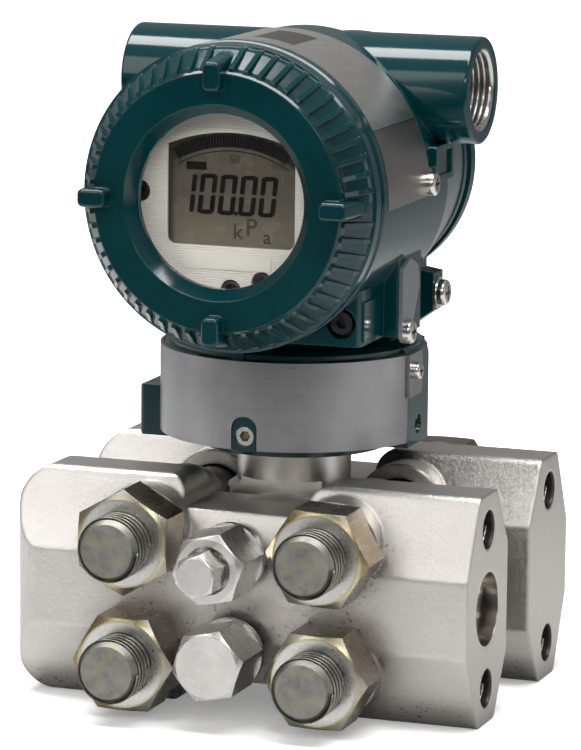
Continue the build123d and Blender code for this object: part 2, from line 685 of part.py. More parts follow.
def cover_blank(drum_r, thread_r, depth):
    """Outside of a screw cover that closes a mouth at Y = 0, with ribs and four lugs."""
    outer = drum_r + COVER_LIP
    face_r = outer - 6.0
    face = -depth
    body = turned_y(
        [
            (0, SKIRT_END),
            (thread_r - FIT - 0.8, SKIRT_END),
            (thread_r - FIT, SKIRT_END - 0.8),
            (thread_r - FIT, COVER_BACK),
            (outer, COVER_BACK),
            (outer, RIM_FRONT),
            (outer - 0.9, RIM_FRONT - 0.4),
            (outer - 1.4, RIM_FRONT - 1.4),
            (face_r + 0.6, face + 2.4),
            (face_r, face + 0.6),
            (face_r - 0.6, face),
            (0, face),
        ]
    )
    rise = RIM_FRONT - face
    rib_side = make_face(
        Polyline(
            (face_r - 1.0, face + 0.9),
            (face_r + 0.9, face + 0.35),
            (outer - 2.9, RIM_FRONT - rise * 0.54),
            (outer - 1.4, RIM_FRONT - rise * 0.28),
            (outer - 0.5, RIM_FRONT - 0.1),
            (face_r - 1.0, RIM_FRONT - 0.1),
            close=True,
        )
    )
    rib = Pos(0, 0, -RIB_WIDTH / 2) * extrude(rib_side, RIB_WIDTH)
    half = LUG_WIDTH / 2
    lug_side = make_face(
        Polyline(
            (outer - 11.2, RIM_FRONT - 0.3),
            (outer - 10.8, face - LUG_RISE),
            (outer - 3.6, face - LUG_RISE),
            (outer - 1.7, RIM_FRONT - 0.3),
            close=True,
        )
    )
    lug = Pos(0, 0, -half) * extrude(lug_side, LUG_WIDTH)
    upright = lug.edges().filter_by(Axis.Z, reverse=True).filter_by(Axis.X, reverse=True)
    lug = fillet(upright, 1.4)
    lug = fillet(lug.faces().sort_by(Axis.Y)[0].edges(), 0.9)
    step = 360 / RIB_PLACES
    quarter = RIB_PLACES // 4
    ribs = []
    for place in range(RIB_PLACES):
        piece = rib if place % quarter else lug
        ribs.append(Rot(0, place * step, 0) * piece)
    return body + ribs


def front_cover():
    face = -FRONT_COVER_DEPTH
    inner = turned_y(
        [
            (0, face - 1),
            (WINDOW_R + 3.2, face - 1),
            (WINDOW_R + 2.6, face),
            (WINDOW_R, face + 3.6),
            (WINDOW_R, GLASS_SEAT),
            (GLASS_R + SEAT, GLASS_SEAT),
            (GLASS_R + SEAT, RETAINER_BACK),
            (THREAD_R - 4.5, RETAINER_BACK),
            (THREAD_R - 4.5, SKIRT_END + 1),
            (0, SKIRT_END + 1),
        ]
    )
    return AT_FRONT_MOUTH * (cover_blank(HOUSING_R, THREAD_R, FRONT_COVER_DEPTH) - inner)


def window_gasket():
    ring = bar_y(GLASS_R, GLASS_SEAT, GLASS_SEAT + 0.5)
    return AT_FRONT_MOUTH * (ring - bar_y(WINDOW_R + 1, GLASS_SEAT, GLASS_SEAT + 0.5))


def window_glass():
    return AT_FRONT_MOUTH * bar_y(GLASS_R, GLASS_SEAT + 0.5, GLASS_BACK)


def window_retainer():
    """Threaded ring behind the glass with two spanner slots."""
    ring = bar_y(GLASS_R + SEAT, GLASS_BACK, RETAINER_BACK)
    ring -= bar_y(GLASS_R - 2.6, GLASS_BACK - 1, RETAINER_BACK + 1)
    for side in (-1, 1):
        ring -= block(side * (GLASS_R - 4), side * (GLASS_R - 0.5), GLASS_BACK + 0.6, RETAINER_BACK + 1, -1, 1)
    return AT_FRONT_MOUTH * ring


def rear_cover():
    face = -REAR_COVER_DEPTH
    bore_r = REAR_THREAD_R - 4.5
    inner = turned_y(
        [
            (0, face + 4),
            (bore_r - 2, face + 4),
            (bore_r, face + 6),
            (bore_r, SKIRT_END + 1),
            (0, SKIRT_END + 1),
        ]
    )
    return AT_REAR_MOUTH * (cover_blank(REAR_R, REAR_THREAD_R, REAR_COVER_DEPTH) - inner)


def cover_o_ring(thread_r):
    """Round-section ring between cover and drum mouth."""
    section = COVER_GAP / 2 - FIT
    return Pos(0, COVER_BACK / 2, 0) * Rot(90, 0, 0) * Torus(thread_r + 1.7, section)


def front_cover_o_ring():
    return AT_FRONT_MOUTH * cover_o_ring(THREAD_R)


def rear_cover_o_ring():
    return AT_REAR_MOUTH * cover_o_ring(REAR_THREAD_R)


# Display and electronics behind the front cover
BEZEL_FRONT = HOUSING_FRONT + RETAINER_BACK + 0.6
BEZEL_R = 27.0
BEZEL_BACK = BEZEL_FRONT + 4.0
LCD_X = -0.1
LCD_WIDTH = 33.8
LCD_LOW = COVER_Z - 12.2
LCD_SIDE_TOP = COVER_Z + 12.9
LCD_TOP = COVER_Z + 16.3
BEZEL_SCREWS = [(-24.6, COVER_Z + 0.6), (0.0, COVER_Z - 23.4), (8.3, COVER_Z - 21.0)]
BOARD_THICK = 1.6
CPU_FRONT = -30.0
STANDOFF_PLACES = [(x, COVER_Z + z) for x in (-18.0, 18.0) for z in (-17.0, 17.0)]
TERMINAL_FIXINGS = [(-19.8, COVER_Z - 6), (19.8, COVER_Z - 6)]


def lcd_outline(margin=0.0):
    """Display outline: straight sides, rounded foot and an arched top."""
    left = LCD_X - LCD_WIDTH / 2 - margin
    right = LCD_X + LCD_WIDTH / 2 + margin
    low = LCD_LOW - margin
    side_top = LCD_SIDE_TOP
    edge = Polyline((left, side_top), (left, low), (right, low), (right, side_top))
    arch = ThreePointArc((right, side_top), (LCD_X, LCD_TOP + margin), (left, side_top))
    face = make_face([edge, arch])
    return fillet(face.vertices().sort_by(Axis.Y)[:2], 2.0)


def indicator_bezel():
    body = bar_y(BEZEL_R, BEZEL_FRONT, BEZEL_BACK, 0, COVER_Z)
    body = fillet(body.edges().sort_by(Axis.Y)[0], 0.6)
    opening = Pos(0, BEZEL_BACK + 1, 0) * extrude(Plane.XZ * lcd_outline(0.1), 6)
    body -= opening
    plaque = block(-13.0, 10.8, BEZEL_FRONT - 0.3, BEZEL_FRONT + 1, COVER_Z - 18.2, COVER_Z - 14.0)
    body += fillet(plaque.edges().filter_by(Axis.Y), 1.0)
    for x, z in BEZEL_SCREWS:
        body -= bar_y(2.8, BEZEL_FRONT - 1, BEZEL_FRONT + 1.6, x, z)
        body -= bar_y(1.3, BEZEL_FRONT, BEZEL_BACK + 1, x, z)
    return body


def lcd_panel():
    return Pos(0, BEZEL_BACK, 0) * extrude(Plane.XZ * lcd_outline(), BEZEL_BACK - BEZEL_FRONT - 0.5)


def indicator_screws():
    screws = []
    for x, z in BEZEL_SCREWS:
        seat = BEZEL_FRONT + 1.6
        place = Pos(x, seat, z) * Rot(90, 0, 0)
        screws.append(place * pan_screw(2.6, 1.5, 1.2, BEZEL_BACK - seat + BOARD_THICK))
    return Compound(children=[item.solids()[0] for item in screws])


def indicator_board():
    board = bar_y(BEZEL_R + 1, BEZEL_BACK, BEZEL_BACK + BOARD_THICK, 0, COVER_Z)
    for x, z in BEZEL_SCREWS:
        board -= bar_y(1.3, BEZEL_BACK - 1, BEZEL_BACK + BOARD_THICK + 1, x, z)
    connector = block(-9, 9, BEZEL_BACK + BOARD_THICK, BEZEL_BACK + BOARD_THICK + 4,
                      COVER_Z + 4, COVER_Z + 9)
    return board + connector


def cpu_board():
    board = bar_y(31.0, CPU_FRONT, CPU_FRONT + BOARD_THICK, 0, COVER_Z)
    chip = block(-8, 8, CPU_FRONT - 2.2, CPU_FRONT, COVER_Z - 12, COVER_Z + 0.5)
    coil = bar_y(5.0, CPU_FRONT - 5, CPU_FRONT, 17, COVER_Z - 2)
    socket = block(-22, -16, CPU_FRONT - 5, CPU_FRONT, COVER_Z - 8, COVER_Z + 8)
    return board + chip + coil + socket


def board_standoffs():
    posts = []
    for x, z in STANDOFF_PLACES:
        back = bar_y(2.6, CPU_FRONT + BOARD_THICK, PARTITION_FRONT, x, z)
        back += bar_y(1.5 - FIT, PARTITION_FRONT, PARTITION_FRONT + 3, x, z)
        posts.append(back)
    for x, z in STANDOFF_PLACES:
        posts.append(bar_y(2.2, BEZEL_BACK + BOARD_THICK, CPU_FRONT, x, z))
    return Compound(children=[item.solids()[0] for item in posts])


# Terminals behind the rear cover
TERMINAL_BACK = PARTITION_REAR
TERMINAL_FACE = TERMINAL_BACK + 11.0
TERMINAL_XS = (-12.0, -4.0, 4.0, 12.0)
TERMINAL_Z = COVER_Z - 6.0


def terminal_block():
    """Moulded block with a barrier between each pair of clamps."""
    body = block(-23.5, 23.5, TERMINAL_BACK, TERMINAL_FACE, TERMINAL_Z - 8, TERMINAL_Z + 8)
    body = fillet(body.edges().filter_by(Axis.Y), 5.0)
    for x in TERMINAL_XS:
        body -= block(x - 3.5, x + 3.5, TERMINAL_FACE - 4, TERMINAL_FACE + 1,
                      TERMINAL_Z - 9, TERMINAL_Z + 5)
        body -= bar_y(1.5, TERMINAL_FACE - 9, TERMINAL_FACE - 3, x, TERMINAL_Z)
    for x, z in TERMINAL_FIXINGS:
        body -= bar_y(3.1, TERMINAL_FACE - 3, TERMINAL_FACE + 1, x, z)
        body -= bar_y(1.7, TERMINAL_BACK - 1, TERMINAL_FACE, x, z)
    return body


def terminal_screws():
    screws = []
    for x in TERMINAL_XS:
        place = Pos(x, TERMINAL_FACE - 4, TERMINAL_Z) * Rot(-90, 0, 0)
        screws.append(place * pan_screw(2.9, 2.0, 1.45, 4.5))
    return Compound(children=[item.solids()[0] for item in screws])


def terminal_fixing_screws():
    screws = []
    for x, z in TERMINAL_FIXINGS:
        place = Pos(x, TERMINAL_FACE - 3, z) * Rot(-90, 0, 0)
        screws.append(place * pan_screw(2.8, 2.0, 1.45, TERMINAL_FACE - TERMINAL_BACK))
    return Compound(children=[item.solids()[0] for item in screws])


NODES = {
    "front_cover_flange": front_cover_flange,
    "rear_cover_flange": rear_cover_flange,
    "flange_bolts": flange_bolts,
    "flange_nuts": flange_nuts,
    "vent_plug": vent_plug,
    "vent_screw": vent_screw,
    "drain_plug": drain_plug,
    "sensor_capsule": sensor_capsule,
    "isolating_diaphragms": isolating_diaphragms,
    "flange_gaskets": flange_gaskets,
    "neck_o_ring": neck_o_ring,
    "housing": housing,
    "collar_band": collar_band,
    "band_screw": band_screw,
    "tag_plate": tag_plate,
    "tag_plate_screw": tag_plate_screw,
    "set_screws": set_screws,
    "cover_lock_screws": cover_lock_screws,
    "zero_adjust_screw": zero_adjust_screw,
    "zero_screw_cover": zero_screw_cover,
    "zero_cover_screw": zero_cover_screw,
    "ground_washer": ground_washer,
    "ground_screw": ground_screw,
    "front_cover": front_cover,
    "front_cover_o_ring": front_cover_o_ring,
    "window_gasket": window_gasket,
    "window_glass": window_glass,
    "window_retainer": window_retainer,
    "indicator_bezel": indicator_bezel,
    "lcd_panel": lcd_panel,
    "indicator_screws": indicator_screws,
    "indicator_board": indicator_board,
    "cpu_board": cpu_board,
    "board_standoffs": board_standoffs,
    "rear_cover": rear_cover,
    "rear_cover_o_ring": rear_cover_o_ring,
    "terminal_block": terminal_block,
    "terminal_screws": terminal_screws,
    "terminal_fixing_screws": terminal_fixing_screws,
}


def main():
    os.makedirs("parts", exist_ok=True)
    for name, make in NODES.items():
        export_step(AT_PORT * make(), os.path.join("parts", name + ".step"))


if __name__ == "__main__":
    main()
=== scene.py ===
import math

import bpy
from mathutils import Matrix, Vector


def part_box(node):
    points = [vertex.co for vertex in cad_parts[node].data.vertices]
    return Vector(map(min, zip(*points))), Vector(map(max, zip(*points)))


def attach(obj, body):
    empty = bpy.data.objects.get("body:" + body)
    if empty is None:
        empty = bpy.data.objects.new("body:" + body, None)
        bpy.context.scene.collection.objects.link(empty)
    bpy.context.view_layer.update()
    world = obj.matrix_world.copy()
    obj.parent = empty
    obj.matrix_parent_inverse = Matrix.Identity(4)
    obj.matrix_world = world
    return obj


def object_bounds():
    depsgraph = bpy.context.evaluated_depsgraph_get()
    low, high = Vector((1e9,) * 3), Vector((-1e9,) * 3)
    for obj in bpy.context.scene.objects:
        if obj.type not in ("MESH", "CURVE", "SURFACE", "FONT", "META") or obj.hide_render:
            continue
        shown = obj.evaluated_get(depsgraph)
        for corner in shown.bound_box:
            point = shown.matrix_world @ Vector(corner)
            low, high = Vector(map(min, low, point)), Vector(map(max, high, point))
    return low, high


bl_info = {
    "name": "Pressure transmitter finishes",
    "version": (1, 0, 0),
    "blender": (4, 5, 0),
    "location": "3D View > Sidebar > Transmitter",
    "description": "Finishes, thread ridges, display figures and a studio for the transmitter",
    "category": "Object",
}

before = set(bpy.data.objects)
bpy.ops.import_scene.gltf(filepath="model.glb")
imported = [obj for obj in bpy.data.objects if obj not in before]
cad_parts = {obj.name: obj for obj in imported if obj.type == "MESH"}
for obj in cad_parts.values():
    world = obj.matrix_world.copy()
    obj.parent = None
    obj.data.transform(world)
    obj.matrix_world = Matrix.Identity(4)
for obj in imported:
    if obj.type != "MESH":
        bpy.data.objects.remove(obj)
CAD_BOX = [list(corner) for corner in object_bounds()]

MM = 0.001
NECK_AXIS = Vector((-62 * MM, 27 * MM, 0))
COVER_CENTRE = NECK_AXIS + Vector((0, 0, 104.5 * MM))

# Flanges and their bolts
PORT_SPACING = 54 * MM
PORT_R = 9.7 * MM
BOLT_X = 26.1 * MM
BOLT_Z = 15.75 * MM
BOLT_HEAD_Y = 70.5 * MM
NUT_FACE = 1.6 * MM
BOLT_TIP = 1.7 * MM
STUD_ROOT_R = 7.97 * MM
STUD_CREST_R = 8.16 * MM
STUD_OVERLAP = 2 * MM
TAPPED_Z = 20.65 * MM
TAPPED_END = -15.5 * MM
TAPPED_R = 5.06 * MM
TAPPED_ROOT_R = 5.02 * MM
TAPPED_CREST_R = 4.25 * MM
TAPPED_START = -15.2 * MM
TAPPED_LENGTH = 14 * MM

# Cable tube and its two threaded entries
TUBE_Y = NECK_AXIS.y + 8.4 * MM
TUBE_Z = 127.9 * MM
TUBE_RIGHT = -14.5 * MM
TUBE_LEFT = -109.5 * MM
ENTRY_DEPTH = 15.6 * MM
ENTRY_R = 10.6 * MM
ENTRY_ROOT_R = 10.02 * MM
ENTRY_CREST_R = 9.15 * MM
ENTRY_LENGTH = 14.5 * MM

# Strap over the drum
STRAP_R = 39 * MM
STRAP_STRIPE = 0.78 * MM
STRAP_SLANT = math.radians(24)
STRAP_FOLD = 43 * MM
STRAP_FOLD_HALF = 0.16 * MM

# Display, in millimetres from the axis of the cover
SCALE_DROP = 17.5
SCALE_INNER = 30.2
SCALE_OUTER = 33.4
SCALE_STEP = 1.38
FIGURES = "10000"
FIGURES_LEFT = -11.9
FIGURES_MIDDLE = 0.7
FIGURE_SEGMENTS = {"0": "abcdef", "1": "bc"}
FIGURE_WIDTH = 4.3 * MM
FIGURE_STROKE = 1.12 * MM
FIGURE_SLANT = math.radians(6)
INK_THICK = 0.05 * MM
SMALL_FIGURES = (
    # Text, place across, place up, height
    ("50", 0.6, 9.6, 2.3),
    ("0", -14.0, 8.2, 2.0),
    ("100", 12.2, 8.4, 2.0),
    ("k", 1.6, -8.6, 4.4),
    ("P", 5.2, -7.4, 5.0),
    ("a", 9.4, -9.6, 4.0),
)

# Studio, in metres and watts
FLOOR_SIZE = 8.0
LAMPS = (
    # Name, place, width, height, power
    ("key", (-0.68, -1.02, 0.68), 0.55, 0.8, 3.55),
    ("front", (0.35, -1.05, 0.66), 1.1, 0.09, 3.9),
    ("side", (1.0, 0.3, 0.2), 0.3, 0.4, 0.5),
    ("top", (-0.1, -0.10, 1.0), 1.2, 0.36, 19.0),
)
LAMP_TARGET = NECK_AXIS + Vector((0, 0, 0.06))
CAMERA_AZIMUTH = math.radians(19.7398)
CAMERA_ELEVATION = math.radians(9.9739)
CAMERA_ROLL = math.radians(0.5478)
CAMERA_DISTANCE = 1145.29 * MM
CAMERA_RIGHT = -1.25 * MM
CAMERA_UP = 50.93 * MM
CAMERA_FOCAL_PIXELS = 4332.73
PICTURE_HEIGHT = 750
SENSOR_MM = 36


def low_corner(node):
    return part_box(node)[0]


def high_corner(node):
    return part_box(node)[1]


# Sizes and colours a user may change
class TransmitterSizes(bpy.types.PropertyGroup):
    stud_pitch: bpy.props.FloatProperty(
        name="Stud thread pitch",
        description="Distance between the ridges on the flange studs",
        default=2.0 * MM, min=0.5 * MM, max=4 * MM, unit="LENGTH",
    )
    entry_pitch: bpy.props.FloatProperty(
        name="Entry thread pitch",
        description="Distance between the ridges inside the cable entries",
        default=1.5 * MM, min=0.5 * MM, max=4 * MM, unit="LENGTH",
    )
    tapped_pitch: bpy.props.FloatProperty(
        name="Tapped hole pitch",
        description="Distance between the ridges inside the tapped flange holes",
        default=1.5 * MM, min=0.5 * MM, max=4 * MM, unit="LENGTH",
    )
    figure_height: bpy.props.FloatProperty(
        name="Figure height",
        description="Height of the large display figures",
        default=10.2 * MM, min=4 * MM, max=12 * MM, unit="LENGTH",
    )
    figure_pitch: bpy.props.FloatProperty(
        name="Figure pitch",
        description="Distance between two large display figures",
        default=5.4 * MM, min=3 * MM, max=8 * MM, unit="LENGTH",
    )
    bezel_rib_pitch: bpy.props.FloatProperty(
        name="Bezel rib pitch",
        description="Distance between the fine ribs of the display surround",
        default=0.62 * MM, min=0.2 * MM, max=3 * MM, unit="LENGTH",
    )


class TransmitterColours(bpy.types.PropertyGroup):
    paint: bpy.props.FloatVectorProperty(
        name="Housing paint",
        description="Colour of the glossy housing paint",
        default=(0.0003, 0.0225, 0.0262), min=0, max=1, size=3, subtype="COLOR",
    )
    casting: bpy.props.FloatVectorProperty(
        name="Blasted casting",
        description="Colour of the blasted flange castings",
        default=(0.60, 0.572, 0.54), min=0, max=1, size=3, subtype="COLOR",
    )
    bezel: bpy.props.FloatVectorProperty(
        name="Display surround",
        description="Colour of the moulded surround of the display",
        default=(0.90, 0.85, 0.77), min=0, max=1, size=3, subtype="COLOR",
    )
    # Also the dark towards which the scale field, the painted shade above it and the painted shadow
    # at the left edge are blended
    display_top: bpy.props.FloatVectorProperty(
        name="Display top",
        description="Colour of the display glass at its upper edge",
        default=(0.012, 0.0095, 0.006), min=0, max=1, size=3, subtype="COLOR",
    )
    display_foot: bpy.props.FloatVectorProperty(
        name="Display foot",
        description="Colour of the display glass at its lower edge",
        default=(0.19, 0.163, 0.125), min=0, max=1, size=3, subtype="COLOR",
    )
    floor: bpy.props.FloatVectorProperty(
        name="Floor",
        description="Colour of the floor and backdrop",
        default=(0.86, 0.86, 0.86), min=0, max=1, size=3, subtype="COLOR",
    )


def sizes():
    return bpy.context.scene.transmitter_sizes


def colours():
    return bpy.context.scene.transmitter_colours


def shaded(colour, share):
    return tuple(value * share for value in colour)


# Shader building
class Nodes:
    """Short calls that add and link the nodes of one shader tree."""

    def __init__(self, tree):
        self.tree = tree

    def feed(self, value, socket):
        """Links an output to a socket, or writes a plain number, vector or colour on it."""
        if isinstance(value, bpy.types.NodeSocket):
            self.tree.links.new(value, socket)
        elif socket.type == "RGBA":
            socket.default_value = (*value[:3], 1)
        else:
            socket.default_value = value

    def add(self, kind, *values, **settings):
        """New node with its settings, and its first inputs fed in order."""
        node = self.tree.nodes.new(kind)
        for name, setting in settings.items():
            setattr(node, name, setting)
        for value, socket in zip(values, node.inputs):
            self.feed(value, socket)
        return node

    def named(self, kind, inputs, **settings):
        """New node with its settings, and the named inputs fed."""
        node = self.add(kind, **settings)
        for label, value in inputs.items():
            self.feed(value, node.inputs[label])
        return node

    def maths(self, operation, *values):
        return self.add("ShaderNodeMath", *values, operation=operation).outputs[0]

    def vector_maths(self, operation, *values):
        node = self.add("ShaderNodeVectorMath", *values, operation=operation)
        return node.outputs["Value" if operation in ("LENGTH", "DISTANCE") else "Vector"]

    def split(self, vector):
        return self.add("ShaderNodeSeparateXYZ", vector).outputs

    def turned(self, vector, angles):
        inputs = {"Vector": vector, "Rotation": angles}
        return self.named("ShaderNodeMapping", inputs).outputs[0]

    def noise(self, vector, scale, detail, roughness):
        inputs = {"Vector": vector, "Scale": scale, "Detail": detail, "Roughness": roughness}
        return self.named("ShaderNodeTexNoise", inputs).outputs["Fac"]

    def spread(self, value, low, high, from_low=0.0, from_high=1.0, smooth=False):
        """Value stretched from one range over another and kept within it."""
        kind = "SMOOTHSTEP" if smooth else "LINEAR"
        inputs = (value, from_low, from_high, low, high)
        return self.add("ShaderNodeMapRange", *inputs, interpolation_type=kind).outputs["Result"]

    def blend(self, factor, first, second):
        """Mix of two colours."""
        node = self.add("ShaderNodeMix", factor, data_type="RGBA")
        self.feed(first, node.inputs[6])
        self.feed(second, node.inputs[7])
        return node.outputs[2]

    def between(self, value, low, high):
        """One where a value lies between two limits, and zero elsewhere."""
        above = self.maths("GREATER_THAN", value, low)
        return self.maths("MULTIPLY", above, self.maths("LESS_THAN", value, high))

    def off_pair(self, value, centre, offset):
        """Distance to the nearer of two lines, one at each side of a centre."""
        away = self.maths("ABSOLUTE", self.maths("SUBTRACT", value, centre))
        return self.maths("SUBTRACT", away, offset)

    def diagonal(self, first, second):
        """Length over two distances at right angles."""
        return self.vector_maths("LENGTH", self.add("ShaderNodeCombineXYZ", first, second).outputs[0])


GROUPS = {}


def new_group(name, inputs, outputs):
    """Node group with a vector, the given inputs at their defaults, and the outputs."""
    tree = bpy.data.node_groups.new(name, "ShaderNodeTree")
    tree.interface.new_socket("Vector", in_out="INPUT", socket_type="NodeSocketVector")
    for label, default in inputs.items():
        kind = "NodeSocketFloat" if isinstance(default, float) else "NodeSocketVector"
        socket = tree.interface.new_socket(label, in_out="INPUT", socket_type=kind)
        socket.default_value = default
    for label in outputs:
        kind = "NodeSocketColor" if label == "Color" else "NodeSocketFloat"
        tree.interface.new_socket(label, in_out="OUTPUT", socket_type=kind)
    GROUPS[name] = tree
    nodes = Nodes(tree)
    return nodes, nodes.add("NodeGroupInput").outputs, nodes.add("NodeGroupOutput").inputs


def surface_mottle_group():
    """Slow, cloudy change of a value over the surface."""
    inputs = {"Scale": 60.0, "Low": 0.0, "High": 1.0}
    nodes, given, result = new_group("surface_mottle", inputs, ("Value",))
    cloud = nodes.noise(given["Vector"], given["Scale"], 4.0, 0.55)
    nodes.feed(nodes.spread(cloud, given["Low"], given["High"], 0.3, 0.7), result["Value"])


def blasted_grain_group():
    """Fine pits and peaks that blasting leaves on cast metal."""
    nodes, given, result = new_group("blasted_grain", {"Grain": 1500.0}, ("Height", "Shade"))
    fine = nodes.noise(given["Vector"], given["Grain"], 3.0, 0.6)
    coarse_grain = nodes.maths("MULTIPLY", given["Grain"], 0.24)
    coarse = nodes.noise(given["Vector"], coarse_grain, 3.0, 0.6)
    nodes.feed(nodes.maths("MULTIPLY_ADD", coarse, 0.9, fine), result["Height"])
    nodes.feed(nodes.spread(fine, 0.0, 1.0, 0.35, 0.65), result["Shade"])


def drawn_lines_group():
    """Fine parallel scratches across the chosen direction."""
    nodes, given, result = new_group("drawn_lines", {"Scale": (1, 1, 1)}, ("Height", "Shade"))
    stretched = nodes.vector_maths("MULTIPLY", given["Vector"], given["Scale"])
    lines = nodes.noise(stretched, 1.0, 4.0, 0.65)
    nodes.feed(lines, result["Height"])
    nodes.feed(nodes.spread(lines, 0.0, 1.0, 0.3, 0.7), result["Shade"])


def plated_film_group():
    """Silver to brown and yellow-green film of plated hexagons round the four bolt lines."""
    nodes, given, result = new_group("plated_film", {"Front": 0.0}, ("Color",))
    x, _, z = nodes.split(given["Vector"])
    side = nodes.off_pair(x, NECK_AXIS.x, BOLT_X)
    out = nodes.diagonal(side, nodes.off_pair(z, 0.0, BOLT_Z))
    patch = nodes.noise(given["Vector"], 36.0, 1.0, 0.4)
    brown = nodes.spread(patch, 0.0, 1.0, 0.44, 0.6, smooth=True)
    tone = nodes.blend(brown, (0.34, 0.31, 0.265), (0.25, 0.19, 0.11))
    ring = nodes.spread(out, 1.0, 0.0, 10.6 * MM, 11.7 * MM, smooth=True)
    ring = nodes.maths("MULTIPLY", ring, given["Front"])
    tone = nodes.blend(ring, tone, (0.60, 0.585, 0.56))
    rim = nodes.maths("ABSOLUTE", nodes.maths("SUBTRACT", out, 11.5 * MM))
    rim = nodes.spread(rim, 0.75, 0.0, 0.15 * MM, 0.9 * MM, smooth=True)
    rim = nodes.maths("MULTIPLY", rim, given["Front"])
    green = nodes.spread(nodes.noise(given["Vector"], 120.0, 2.0, 0.5), 0.2, 1.0, 0.4, 0.6)
    tone = nodes.blend(nodes.maths("MULTIPLY", rim, green), tone, (0.50, 0.47, 0.27))
    nodes.feed(tone, result["Color"])


class Finish(Nodes):
    """A material in the making, with its shader and its object coordinates."""

    def __init__(self, name, **sockets):
        self.material = bpy.data.materials.new(name)
        self.material.use_nodes = True
        super().__init__(self.material.node_tree)
        self.shader = self.tree.nodes["Principled BSDF"]
        for label, value in sockets.items():
            self.set(label.replace("_", " "), value)
        self.coordinates = self.add("ShaderNodeTexCoord").outputs["Object"]
        self.x, self.y, self.z = self.split(self.coordinates)

    def set(self, label, value):
        self.feed(value, self.shader.inputs[label])

    def show(self, shader):
        """Puts another shader on the surface."""
        self.feed(shader.outputs[0], self.tree.nodes["Material Output"].inputs["Surface"])

    def group(self, name, vector=None, **values):
        values["Vector"] = self.coordinates if vector is None else vector
        return self.named("ShaderNodeGroup", values, node_tree=GROUPS[name]).outputs

    def mottle(self, scale, low=0.0, high=1.0):
        return self.group("surface_mottle", Scale=scale, Low=low, High=high)["Value"]

    def lines(self, scale, vector=None):
        return self.group("drawn_lines", vector, Scale=scale)

    def bump(self, height, strength, distance, under=None):
        """Puts a height on the surface, over another normal where one is given."""
        inputs = {"Height": height, "Strength": strength, "Distance": distance}
        if under is not None:
            inputs["Normal"] = under
        normal = self.named("ShaderNodeBump", inputs).outputs["Normal"]
        self.set("Normal", normal)
        return normal

    def distance(self, centre, across):
        """Distance from a line through a centre, measured in the axes named by across."""
        offset = self.vector_maths("SUBTRACT", self.coordinates, centre)
        return self.vector_maths("LENGTH", self.vector_maths("MULTIPLY", offset, across))

    def soft_edges(self, radius):
        """Normal that rounds sharp edges a little."""
        return self.named("ShaderNodeBevel", {"Radius": radius}, samples=5).outputs["Normal"]


def plain_finish(name, tones, tone_scale, gloss, gloss_scale, **sockets):
    """Finish whose tone and gloss change slowly over the surface."""
    finish = Finish(name, **sockets)
    finish.set("Base Color", finish.blend(finish.mottle(tone_scale), *tones))
    finish.set("Roughness", finish.mottle(gloss_scale, *gloss))
    return finish


def drawn_finish(name, tones, gloss, scale):
    """Bare metal with fine lines in its tone and gloss."""
    finish = Finish(name, Metallic=1.0)
    lines = finish.lines(scale)
    finish.set("Base Color", finish.blend(lines["Shade"], *tones))
    finish.set("Roughness", finish.spread(lines["Shade"], *gloss))
    return finish, lines


# Finishes
def housing_paint():
    """Glossy paint, with bare machined metal inside the cable entries."""
    base = tuple(colours().paint)
    finish = Finish("housing_paint", IOR=1.45)
    paint = finish.blend(finish.mottle(45.0), shaded(base, 0.85), shaded(base, 1.2))
    out = finish.distance((0, TUBE_Y, TUBE_Z), (0, 1, 1))
    bare = finish.maths("LESS_THAN", out, ENTRY_R)
    finish.set("Base Color", finish.blend(bare, paint, (0.52, 0.52, 0.50)))
    finish.set("Metallic", bare)
    gloss = finish.mottle(160.0, 0.09, 0.13)
    finish.set("Roughness", finish.maths("MULTIPLY_ADD", bare, 0.12, gloss))
    peel = finish.noise(finish.coordinates, 240.0, 1.0, 0.3)
    finish.bump(peel, 0.05, 0.1 * MM, finish.soft_edges(0.4 * MM))
    return finish.material


